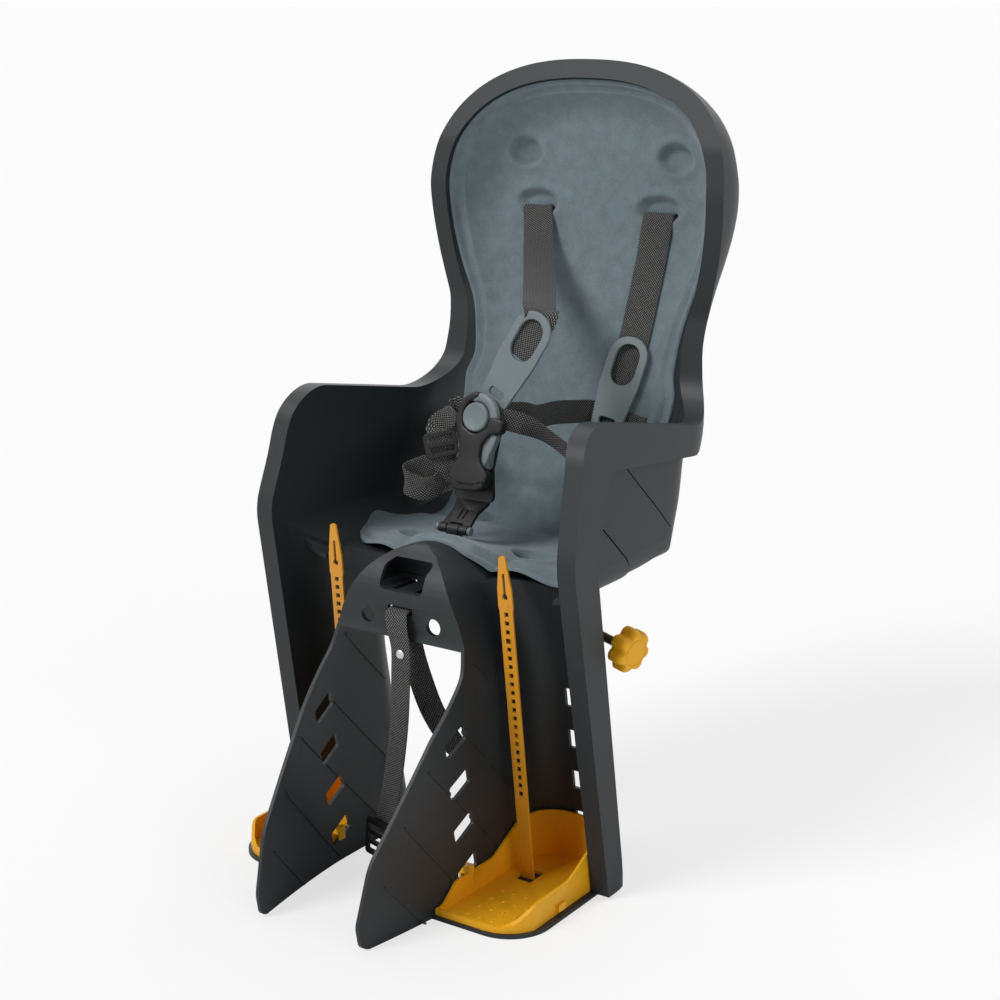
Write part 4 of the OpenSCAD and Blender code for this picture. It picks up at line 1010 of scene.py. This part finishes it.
BUCKLE_AT = np.array([0, 143, 451.0])
BUCKLE_UP = unit((0, 18, 66))
BUCKLE_OUT = np.cross((1, 0, 0), BUCKLE_UP)
TONGUE_TURN, TONGUE_REACH, BASE_TOP, BODY_BACK, BODY_T = math.radians(-24.8), 99.2, -3.0, 5.0, 9.0
GLIDE_AT = np.array([-40, 125, 422.0])
GLIDE_X = unit((0.8, 0.5, 0.2))
GLIDE_Z = unit(np.cross(GLIDE_X, (-0.1, 0.15, 1)))
GLIDE_Y = np.cross(GLIDE_Z, GLIDE_X)


def buckle_point(a, b, h):
    """Point of the buckle frame: a across, b up along the buckle, h to the front."""
    return BUCKLE_AT + (a, 0, 0) + BUCKLE_UP * b + BUCKLE_OUT * h


def tongue_point(reach_, h):
    """Point along the plugged tongue, h in front of the buckle frame's origin."""
    return buckle_point(-reach_ * math.sin(TONGUE_TURN), reach_ * math.cos(TONGUE_TURN), h)


def glide_point(a, b, h):
    """Point of the tri-glide's frame."""
    return GLIDE_AT + GLIDE_X * a + GLIDE_Y * b + GLIDE_Z * h


def tail_point(s, t, z):
    """Point of the hanging tail: s to the right and t away as the photo sees it, at height z."""
    return (-50 + 0.826 * s - 0.563 * t, 110 + 0.563 * s + 0.826 * t, z)


def shoulder_routes():
    """Routes of the right and left shoulder webbing, from behind the shell to their tongues."""
    ax = (1, 0, 0)
    s, y, face = SHOULDER_X, float(back_y(SLOT_Z)), pad_y(SLOT_Z - 3)
    right = [[(s, y + WALL + 2, SLOT_Z + 1), ax], [(s, y - 2, SLOT_Z), ax], [(s, face - 1.6, SLOT_Z - 3), ax],
             [(s - 0.5, pad_y(600) - 2, 600), ax], [(s - 1, pad_y(560) - 2, 560), ax],
             [(s - 2, pad_y(520) - 2, 520), ax], [(s - 5, pad_y(490) - 1.6, 490), (1, 0, -0.1)],
             [(s - 8, pad_y(462) - 1.6, 462), (1, 0, -0.15)]]
    tilt = (0.908, -0.11, -0.405)
    h = BASE_TOP - WEB_T / 2 - 0.5
    left = [[(-s, y + WALL + 2, SLOT_Z + 1), ax], [(-s, y - 2, SLOT_Z), ax],
            [(-s + 2, face - 2, SLOT_Z - 3), ax], [(-59, 335, 607.5), (1, 0.1, 0)],
            [(-33, 297, 588), (1, 0.2, 0)], [(7, 236, 570), (1, 0.3, -0.1)],
            [(37, 190, 562), (0.95, 0.2, -0.25)], [tongue_point(TONGUE_REACH + 15, h - 1.4), tilt],
            [tongue_point(TONGUE_REACH - 28, h), tilt]]
    return [(right, WEB_W - 1)], [(left, WEB_W - 3)]


def lap_routes():
    """Routes of the right and left lap webbing, with the tail that hangs in a loop from the tri-glide."""
    on_pad, up, gx = (0, 0.37, 1), BUCKLE_UP, GLIDE_X
    x, y, face = LAP_X, float(back_y(LAP_Z)), pad_y(LAP_Z)
    right = [([[(x, y + WALL + 2, LAP_Z), on_pad], [(x, y - 3, LAP_Z), on_pad],
               [(x - 5, face - 2.4, 427), on_pad], [(74, pad_y(432) - 2.6, 432), on_pad],
               [(59, pad_y(435) - 3, 435), on_pad],
               [(42, pad_y(438) - 6, 438), (0, 0.3, 1)], [(35, 262, 441), (0, 0.2, 1)],
               [(33, 225, 446), (0, 0.15, 1)], [(34, 190, 448), (0, 0.15, 1)], [(34, 166, 455), (0, 0.2, 1)],
               [buckle_point(22, 6, -2.2), up]], 25),
             ([[buckle_point(20, 2, 2.0), up], [(38, 152, 449), (0, 0, 1)], [(58, 166, 438), (0.35, -0.5, 1)],
               [(84, 168, 424), (0.3, -0.5, 1)], [(110, 158, 415), (0.1, -0.2, 1)],
               [(134, 150, 408), (0, 0, 1)], [(154, 165, 402), (0, 0, 1)]], 22)]
    left = [([[(-x, y + WALL + 2, LAP_Z), on_pad], [(-x, y - 3, LAP_Z), on_pad],
              [(-x + 0.5, face - 3, LAP_Z), on_pad], [(-105, 262, 424), (0, 0.2, 1)],
              [(-98, 228, 419), (0, 0.1, 1)], [(-88, 180, 414), (0, 0, 1)], [(-72, 145, 412), (0, 0, 1)],
              [(-58, 132, 416), (0, 0.1, 1)], [glide_point(-9, 0, -4.6), (0.1, 0.2, 1)]], 25),
            ([[glide_point(0, 1, -1.2), gx], [glide_point(0, 9, -1.3), gx], [glide_point(0, 18, -4.6), gx],
              [(-38, 136, 449), (0.9, 0.3, 0.3)], [(-31, 142, 458), (0.5, 0.3, 0.8)],
              [buckle_point(-14, 2, 0.6), up]], 24),
            ([[glide_point(0, 3, -3.1), gx], [glide_point(0, -14, -3.1), gx], [glide_point(1, -30, -2.0), gx],
              [glide_point(3, -48, 1.0), gx]], 25),
            ([[tail_point(20, -4, 388), (0.15, 0, 1)], [tail_point(10, -8, 381), (0.25, 0, 1)],
              [tail_point(-4, -9, 379), (0.1, 0, 1)], [tail_point(-16, -6, 384), (-0.1, 0, 1)],
              [tail_point(-20, 1, 389), (-0.1, 0, 1)], [tail_point(-15, 8, 392), (0, 0.1, 1)],
              [tail_point(-2, 11, 396), (0.1, 0.1, 1)], [tail_point(13, 9, 401), (0.1, 0.1, 1)]], 25)]
    return right, left


def wheel_route():
    """Route of the wheel strap, from its ladder lock through the arch and down behind."""
    ax = (1, 0, 0)
    return [([[(-28, 3, 46), (1, -0.15, -0.1)], [(-18, 1, 78), (1, -0.15, -0.15)],
              [(-5, -5, 125), (1, -0.15, -0.15)], [(4, -8.5, 174), (1, -0.15, -0.05)],
              [(7, -9.4, 222), (1, -0.1, 0)], [(7, -9.2, 248), (1, -0.1, 0.05)],
              [(2.5, -8.8, 270), ax], [(-0.5, -5.5, 282), ax], [(-1, 3, 285), ax],
              [(-1, 12, 284.4), ax], [(-1, 17, 276), ax], [(0, 16, 258), ax], [(8, 14, 228), (1, 0.3, 0)],
              [(22, 21, 180), (1, 0.5, 0)], [(34, 40, 140), (1, 0.7, 0)], [(40, 60, 118), (1, 0.9, 0)]], 25)]


# Pieces finished from the CAD solids


def cad_finish(node, width, segments=2):
    """Merged copy of a CAD node with its flat faces joined and its edges rounded, in place of the node."""
    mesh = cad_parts[node].data.copy()
    mesh.transform(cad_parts[node].matrix_world)
    made = bmesh.new()
    made.from_mesh(mesh)
    bmesh.ops.remove_doubles(made, verts=made.verts, dist=1e-6)
    bmesh.ops.dissolve_limit(made, angle_limit=math.radians(0.6), verts=made.verts, edges=made.edges)
    made.to_mesh(mesh)
    made.free()
    obj = bpy.data.objects.new(node + "_finish", mesh)
    bpy.context.scene.collection.objects.link(obj)
    shade(obj, EDGE_ANGLE)
    bevel(obj, width, segments)
    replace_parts(obj, node)
    return obj


STUD_END = np.array([51, 131.1, 277.8])
STUD_DIR = unit((0.97, -0.2, -0.15))
STUD_L, KNOB_SEAT, KNOB_R, LOBES, LOBE_DEPTH = 158.0, 12, 22.5, 7, 4.5


def knob_mesh():
    """Hand wheel: seven lobes that fade towards the hub and the face, with a shallow ring on the face."""
    profile = np.array([[0, -4, 0], [7.2, -4, 0], [8, -3.2, 0], [8, -0.4, 0], [9, 0.2, 0.1],
                        [19.5, 0.3, 0.9], [21.6, 1.0, 1], [KNOB_R, 2.8, 1], [KNOB_R, 8, 1], [22.4, 12, 1],
                        [21.9, 14, 1], [21, 15.8, 1], [19.6, 17.2, 0.95], [18, 17.9, 0.8], [16.6, 18, 0.5],
                        [14.6, 18, 0.1], [14.2, 17.7, 0], [13.7, 17.3, 0], [13.1, 17.3, 0], [12.6, 17.7, 0],
                        [12.2, 18, 0], [6, 18.15, 0], [0, 18.2, 0]])
    curve = spline(profile, 4)
    t = np.linspace(0, 2 * np.pi, 168, endpoint=False)
    dent = LOBE_DEPTH * ((1 - np.cos(LOBES * t)) / 2) ** 1.6
    r = np.maximum(curve[:, :1] - dent[None] * curve[:, 2:] * np.clip(curve[:, :1] / KNOB_R, 0, 1), 0)
    side = unit(np.cross(STUD_DIR, (0, 0, 1)))
    up = np.cross(side, STUD_DIR)
    ring = np.cos(t)[:, None] * up - np.sin(t)[:, None] * side
    at = STUD_END + STUD_DIR * (STUD_L - KNOB_SEAT)
    loops = at + STUD_DIR * curve[:, 1][:, None, None] + r[..., None] * ring[None]
    obj = loft("knob", loops)
    shade(obj, 60)
    return obj


def dome_field(name, spots, radius, height):
    """Shallow round bumps at spots on level faces, each a closed cap."""
    n, root = 14, -0.6
    t = np.linspace(0, 2 * np.pi, n, endpoint=False)
    rings = [(radius, root), (radius, 0), (radius * 0.86, height * 0.5), (radius * 0.5, height * 0.9)]
    top = (len(rings) - 1) * n
    points, faces = [], []
    for x, y, z in spots:
        first = sum(len(p) for p in points)
        cap = [np.c_[x + r * np.cos(t), y + r * np.sin(t), np.full(n, z + h)] for r, h in rings]
        points.append(np.concatenate([*cap, [[x, y, z + height], [x, y, z + root]]]))
        faces += [[first + v for v in q] for q in grid_faces(len(rings), n)]
        faces += [[first + top + k, first + top + (k + 1) % n, first + top + n] for k in range(n)]
        faces += [[first + (k + 1) % n, first + k, first + top + n + 1] for k in range(n)]
    obj = make_object(name, np.concatenate(points), faces)
    shade(obj, 40)
    return obj


def collar_mesh():
    """Light plate that rings the button where the black body leaves it open."""
    a = np.radians(np.linspace(-24, 118, 60))
    ends = np.clip(np.minimum(np.arange(60), np.arange(60)[::-1]) / 5, 0, 1) ** 0.5
    mid, half = 20.2, 4.4 * ends + 0.15
    profile = np.array([[-1, 0], [-1, 5.2], [-0.7, 6.4], [-0.2, 6.8], [0.3, 6.8], [0.8, 6.3], [1, 5.2],
                        [1, 0]])
    loops = []
    for angle, h in zip(a, half):
        r = mid + profile[:, 0] * h
        loops.append([buckle_point(q * math.cos(angle), q * math.sin(angle), BODY_BACK + 1.5 + b)
                      for q, b in zip(r, profile[:, 1])])
    obj = loft("collar", np.array(loops))
    shade(obj, 45)
    return obj


def slab(name, outline, low, high, edge):
    """Plate in the buckle frame whose upper edge is rounded: the outline drawn in over four levels."""
    t = np.linspace(0, np.pi / 2, 5)
    levels = [(0.0, low)] + [(edge * (1 - np.cos(a)), high - edge * (1 - np.sin(a))) for a in t]
    loops = []
    for inset, h in levels:
        line = offset_loop(outline, inset) if inset else outline
        loops.append([buckle_point(a, b, h) for a, b in line])
    return loft(name, np.array(loops))


def buckle_mesh():
    """Black body: an ear round the button's left, an arm to its right, a waist and a round lower end."""
    line = rounded([[-17, 19, 8], [-8, 25, 4], [1, 26, 3], [0, 20.5, 3], [-12, 13, 8], [-16, 4, 9],
                    [-14, -10, 8], [2, -18, 12], [14, -9, 8], [17, 3, 4], [33, 0, 4], [33, -13, 4],
                    [19, -16, 6], [11, -28, 9], [11, -42, 10], [25, -58, 9], [19, -74, 12], [-17, -76, 12],
                    [-25, -58, 10], [-14, -40, 12], [-16, -26, 12], [-25, -6, 10], [-22, 12, 10]], 7)
    body = slab("buckle", line, BODY_BACK, BODY_BACK + BODY_T + 0.5, 2.6)
    back = rounded([[-19, 20, 8], [0, 24, 8], [14, 18, 8], [19, -4, 8], [16, -20, 10], [12, -40, 12],
                    [21, -60, 8], [19, -73, 5], [-19, -73, 5], [-21, -58, 8], [-12, -38, 12], [-18, -20, 12],
                    [-22, -4, 8]], 6)
    carve(body, slab("back", back, BASE_TOP + 5.6, BODY_BACK + 3, 0.6), "UNION")
    foot = rounded([[-19, -53, 3], [19, -53, 3], [20, -72, 4], [-20, -72, 4]], 5)
    carve(body, slab("foot", foot, BASE_TOP + 0.05, BODY_BACK + 2, 0.5), "UNION")
    t = np.linspace(0, 2 * np.pi, 72, endpoint=False)
    carve(body, slab("hole", np.c_[15.4 * np.cos(t), 15.4 * np.sin(t)], BASE_TOP + 1, BODY_BACK + 20, 0.3))
    groove = rounded([[-21, -62, 4], [-8, -67, 8], [8, -67, 8], [21, -62, 4], [21, -64, 4], [8, -69.4, 8],
                      [-8, -69.4, 8], [-21, -64, 4]], 5)
    carve(body, slab("groove", groove, BODY_BACK + BODY_T - 1.2, BODY_BACK + 22, 0.2))
    clean(body)
    shade(body, 40)
    return body


def wedge_mesh():
    """Light plate that shows right of the waist, between the arm and the lower end."""
    line = rounded([[13, -14, 2], [27, -15, 3], [22, -32, 8], [22, -50, 6], [17, -52, 3], [10, -42, 6],
                    [10, -26, 6]], 5)
    obj = slab("wedge", line, BODY_BACK - 3, BODY_BACK + 4.5, 1.2)
    shade(obj, 40)
    return obj


def button_mesh():
    """Round push button with a soft dome and a shallow finger dish."""
    r = np.array([0, 4, 8, 11, 12.4, 13.4, 14.2, 14.7, 15, 15, 15, 0])
    h = np.array([0.6, 0.7, 1.1, 1.6, 1.9, 1.9, 1.5, 0.7, -0.6, -2, -7.9, -7.9])
    curve = spline(np.c_[r[:-1], h[:-1], r[:-1] * 0], 3)
    r, h = np.append(curve[:, 0], 0), np.append(curve[:, 1], -7.9)
    t = np.linspace(0, 2 * np.pi, 72, endpoint=False)
    top = BODY_BACK + BODY_T
    loops = [[buckle_point(q * math.cos(w), q * math.sin(w), top + b) for w in t] for q, b in zip(r, h)]
    obj = loft("button", np.array(loops))
    shade(obj, 50)
    return obj


# Add-on: properties, operators and panel


def colour(label, value, text):
    """Colour property with a name, a description and a default."""
    return FloatVectorProperty(name=label, description=text, default=value, subtype="COLOR", size=3, min=0,
                               max=1)


def millimetres(label, value, low, high, text):
    """Length property in millimetres, with its limits."""
    return FloatProperty(name=label, description=text + " in millimetres", default=value, min=low, max=high)


class SEAT_PG_looks(bpy.types.PropertyGroup):
    """Colours and small sizes of the seat's finish."""
    shell: colour("Shell", (0.018, 0.0215, 0.0235), "Charcoal of the moulded shell")
    pad: colour("Pad", (0.168, 0.216, 0.236), "Grey blue of the pad")
    yellow: colour("Yellow", (0.88, 0.43, 0.012), "Trays and knob")
    strap: colour("Foot straps", (0.72, 0.31, 0.013), "Foot straps")
    grey: colour("Grey plastic", (0.17, 0.205, 0.212), "Tongues, button, hinge pin and light plates")
    black: colour("Black plastic", (0.012, 0.012, 0.013), "Buckle, crotch strap, fittings and rod clamp")
    dark: colour("Webbing ground", (0.014, 0.014, 0.015), "Dark yarns of the webbing")
    light: colour("Webbing yarn", (0.20, 0.20, 0.19), "Light yarns of the webbing")
    steel: colour("Steel", (0.62, 0.62, 0.62), "Rivet, bush and strap bars")
    brass: colour("Brass", (0.20, 0.17, 0.08), "Clamp stud")
    pitch: millimetres("Weave pitch", 3.0, 1, 10, "Spacing of the light yarns")
    edge: millimetres("Edge radius", 1.1, 0, 2, "Rounding of the shell's edges")
    puff: millimetres("Puff", 2.5, 0, 6, "Most that the pad's body may swell")
    spacing: millimetres("Pad spacing", 2.8, 2, 8, "Distance between the pad's rows")


MATERIALS = {}
FINISHES = {
    "shell": ("shell plastic", 0.47, 0.9, 0.16, 0.10, 90, {"specular": 0.35}),
    "pad": ("pad fabric", 0.9, 1.5, 0.5, 0.16, 14, {"sheen": 0.35, "specular": 0.2}),
    "yellow": ("yellow plastic", 0.42, 0.8, 0.12, 0.05, 30, {"specular": 0.25}),
    "strap": ("yellow strap", 0.45, 0.8, 0.12, 0.06, 30, {}),
    "grey": ("grey plastic", 0.42, 0.8, 0.12, 0.06, 40, {"specular": 0.35}),
    "black": ("black plastic", 0.40, 0.8, 0.15, 0.15, 40, {"specular": 0.3}),
    "steel": ("steel", 0.32, 1.0, 0.05, 0.05, 20, {"metallic": 1.0}),
    "brass": ("brass", 0.42, 1.0, 0.08, 0.15, 15, {"metallic": 1.0})}


def material(key):
    """Material of a part of the seat, made once from the add-on's colours and a row of FINISHES."""
    look = bpy.context.scene.seat_looks
    if key not in MATERIALS and key == "web":
        MATERIALS[key] = woven("webbing", tuple(look.dark), tuple(look.light), look.pitch)
    elif key not in MATERIALS:
        name, rough, grain, depth, spread, cloud, more = FINISHES[key]
        MATERIALS[key] = mottled(name, getattr(look, key), rough, grain, depth, spread, cloud, **more)
    return MATERIALS[key]


def settle(obj, key, body="seat", name=None):
    """Gives a finished piece its name, material and body."""
    if name:
        obj.name = obj.data.name = name
    give(obj, material(key))
    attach(obj, body)
    return obj


class SeatStep:
    """Base of the operators, which build their piece."""
    bl_options = {"REGISTER", "UNDO"}

    def execute(self, context):
        """Builds the piece."""
        self.build(context.scene.seat_looks)
        return {"FINISHED"}


class SEAT_OT_shell(SeatStep, bpy.types.Operator):
    """Moulded shell with its rim, wells, panels and openings"""
    bl_idname, bl_label = "seat.shell", "Build shell"

    def build(self, look):
        """Cuts the lofted forms together, opens the slots and rounds the edges."""
        body = shell_mesh()
        carve(body, panel_ribs(), "UNION")
        carve(body, block("cross", (-30, WALL, 289), (30, 48, 308)), "UNION")
        shell_openings(body)
        clean(body)
        shade(body, EDGE_ANGLE)
        if look.edge > 0:
            bevel(body, look.edge, 2)
        settle(body, "shell", name="shell_skin")
        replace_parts(body, "shell")


class SEAT_OT_pad(SeatStep, bpy.types.Operator):
    """Formed pad with its flat border, dimples, fold and slots"""
    bl_idname, bl_label = "seat.pad", "Build pad"

    def build(self, look):
        """Lays the face over the bed, with the swell that a cloth run gives."""
        pad = pad_mesh(look.spacing, look.puff)
        shade(pad, 60)
        settle(pad, "pad", name="pad_skin")
        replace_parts(pad, "seat_pad")


class SEAT_OT_webbing(SeatStep, bpy.types.Operator):
    """Shoulder, lap and wheel webbing"""
    bl_idname, bl_label = "seat.webbing", "Build webbing"

    def build(self, look):
        """Runs rounded bands along the routes of the straps."""
        right, left = shoulder_routes()
        lap_right, lap_left = lap_routes()
        for node, runs in (("shoulder_strap_right", right), ("shoulder_strap_left", left),
                           ("lap_strap_right", lap_right), ("lap_strap_left", lap_left),
                           ("safety_strap", wheel_route())):
            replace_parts(settle(webbing(node + "_web", runs), "web"), node)


class SEAT_OT_feet(SeatStep, bpy.types.Operator):
    """Foot trays with grip bumps, and foot straps"""
    bl_idname, bl_label = "seat.feet", "Build foot rests"

    def build(self, look):
        """Rounds the trays and straps and adds the bumps on the tray floors."""
        for side, s in (("left", -1), ("right", 1)):
            settle(cad_finish("foot_tray_" + side, 0.7), "yellow")
            settle(cad_finish("foot_strap_" + side, 0.5), "strap")
            spots = [((108 + 14 * i) * s, -40 + 20 * j, FLOOR_T + 3.0) for i in range(5) for j in range(4)]
            settle(dome_field("bumps_" + side, spots, 2.4, 1.1), "yellow")


class SEAT_OT_buckle(SeatStep, bpy.types.Operator):
    """Buckle, button, tongues, crotch strap, hinge, tri-glide, ladder lock and rivet"""
    bl_idname, bl_label = "seat.buckle", "Build buckle"

    def build(self, look):
        """Rounds the moulded pieces and adds the button, the black body and its two light plates."""
        for node, width, key in (("tongue_left", 1.4, "grey"), ("tongue_right", 1.4, "grey"),
                                 ("crotch_strap", 0.9, "black"), ("crotch_anchor", 0.8, "black"),
                                 ("crotch_pin", 0.6, "grey"), ("tri_glide", 0.7, "black"),
                                 ("safety_buckle", 0.9, "black"), ("safety_rivet", 0.7, "steel")):
            settle(cad_finish(node, width, 3), key)
        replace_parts(settle(button_mesh(), "grey", "button"), "buckle_button")
        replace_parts(settle(buckle_mesh(), "black"), "buckle_body")
        settle(collar_mesh(), "grey")
        settle(wedge_mesh(), "grey")


class SEAT_OT_clamp(SeatStep, bpy.types.Operator):
    """Rod clamp, its bush and stud, the hand wheel and the strap bars"""
    bl_idname, bl_label = "seat.clamp", "Build clamp"

    def build(self, look):
        """Finishes the clamp's solids and makes the lobed hand wheel."""
        settle(cad_finish("rod_clamp", 1.2), "black")
        settle(cad_finish("clamp_bush", 0.4), "steel")
        settle(cad_finish("strap_bars", 0.4), "steel")
        settle(cad_finish("clamp_stud", 0.8), "brass", "clamp_screw")
        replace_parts(settle(knob_mesh(), "yellow", "clamp_screw"), "clamp_knob")


def sun_light(name, source, power, width):
    """Soft even light that comes from a direction, as wide as the angle in degrees."""
    data = bpy.data.lights.new(name, "SUN")
    data.energy, data.angle = power, math.radians(width)
    obj = bpy.data.objects.new(name, data)
    x, y, z = source
    obj.location = unit(source) * 3
    obj.rotation_euler = (math.atan2(math.hypot(x, y), z), 0, math.atan2(x, -y))
    bpy.context.scene.collection.objects.link(obj)


FLOOR_REACH, FLOOR_WHITE, WORLD_LIGHT = 3000000, 0.66, 0.10
SUNS = (("key", (-0.5, -1.0, 1.05), 1.75, 24), ("side", (1.6, -0.6, 0.75), 0.6, 40),
        ("rear", (-0.2, 1.0, 1.7), 1.5, 80))
CAMERA_AT, CAMERA_TILT, CAMERA_TURN = (1.07752, -1.40665, 0.58604), 75.3023, 34.2895
CAMERA_LENS, CAMERA_WIDTH, CAMERA_END = 68.4, 36, 9000


class SEAT_OT_stage(SeatStep, bpy.types.Operator):
    """Pale floor, white background, soft lights and the photo's camera"""
    bl_idname, bl_label = "seat.stage", "Build stage"

    def build(self, look):
        """Sets the floor, the world, the lights and the camera."""
        scene = bpy.context.scene
        w = FLOOR_REACH
        floor = make_object("floor", [[-w, -w, 0], [w, -w, 0], [w, w, 0], [-w, w, 0]], [[0, 1, 2, 3]])
        pale = mottled("floor", (0.93, 0.93, 0.93), 0.9, grain=3, depth=0.0, spread=0.004, cloud=400,
                       specular=0.1)
        tree = pale.node_tree
        path = tree.nodes.new("ShaderNodeLightPath").outputs
        share = maths(tree, "MULTIPLY", path["Is Camera Ray"], FLOOR_WHITE)
        white = linked(tree, "ShaderNodeEmission", Color=(1, 1, 1, 1), Strength=1.0)
        mix = linked(tree, "ShaderNodeMixShader", _0=share,
                     _1=tree.nodes["Principled BSDF"].outputs[0], _2=white.outputs[0])
        tree.links.new(mix.outputs[0], tree.nodes["Material Output"].inputs["Surface"])
        give(floor, pale)
        world = bpy.data.worlds.new("white")
        scene.world = world
        world.use_nodes = True
        tree = world.node_tree
        tree.nodes.clear()
        path = tree.nodes.new("ShaderNodeLightPath").outputs
        sharp = maths(tree, "MAXIMUM", path["Is Glossy Ray"], path["Is Transmission Ray"])
        seen = maths(tree, "MAXIMUM", path["Is Camera Ray"], sharp)
        soft = linked(tree, "ShaderNodeBackground", Color=(0.95, 0.97, 1, 1), Strength=WORLD_LIGHT)
        white = linked(tree, "ShaderNodeBackground", Color=(1, 1, 1, 1), Strength=1.0)
        mix = linked(tree, "ShaderNodeMixShader", _0=seen, _1=soft.outputs[0], _2=white.outputs[0])
        linked(tree, "ShaderNodeOutputWorld", Surface=mix.outputs[0])
        for sun in SUNS:
            sun_light(*sun)
        data = bpy.data.cameras.new("camera")
        data.lens, data.sensor_width, data.clip_end = CAMERA_LENS, CAMERA_WIDTH, CAMERA_END
        data.dof.use_dof = False
        camera = bpy.data.objects.new("camera", data)
        camera.location = CAMERA_AT
        camera.rotation_euler = (math.radians(CAMERA_TILT), 0, math.radians(CAMERA_TURN))
        scene.collection.objects.link(camera)
        scene.camera = camera
        scene.view_settings.view_transform = "Standard"


class SEAT_PT_panel(bpy.types.Panel):
    """Sidebar panel with the seat's colours and one button for each step"""
    bl_idname, bl_label = "SEAT_PT_panel", "Child bike seat"
    bl_space_type, bl_region_type, bl_category = "VIEW_3D", "UI", "Seat"

    def draw(self, context):
        """Lists the properties and the operators."""
        for name in SEAT_PG_looks.__annotations__:
            self.layout.prop(context.scene.seat_looks, name)
        for step in STEPS:
            self.layout.operator(step.bl_idname)


STEPS = (SEAT_OT_shell, SEAT_OT_pad, SEAT_OT_webbing, SEAT_OT_feet, SEAT_OT_buckle, SEAT_OT_clamp,
         SEAT_OT_stage)
CLASSES = (SEAT_PG_looks, *STEPS, SEAT_PT_panel)


def register():
    """Registers the classes and hangs the properties on the scene."""
    for cls in CLASSES:
        bpy.utils.register_class(cls)
    bpy.types.Scene.seat_looks = PointerProperty(type=SEAT_PG_looks)


def unregister():
    """Takes the classes and the properties away again."""
    del bpy.types.Scene.seat_looks
    for cls in reversed(CLASSES):
        bpy.utils.unregister_class(cls)


def main():
    """Registers the add-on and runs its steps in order."""
    register()
    bpy.ops.seat.shell()
    bpy.ops.seat.pad()
    bpy.ops.seat.webbing()
    bpy.ops.seat.feet()
    bpy.ops.seat.buckle()
    bpy.ops.seat.clamp()
    bpy.ops.seat.stage()


if __name__ == "__main__":
    main()
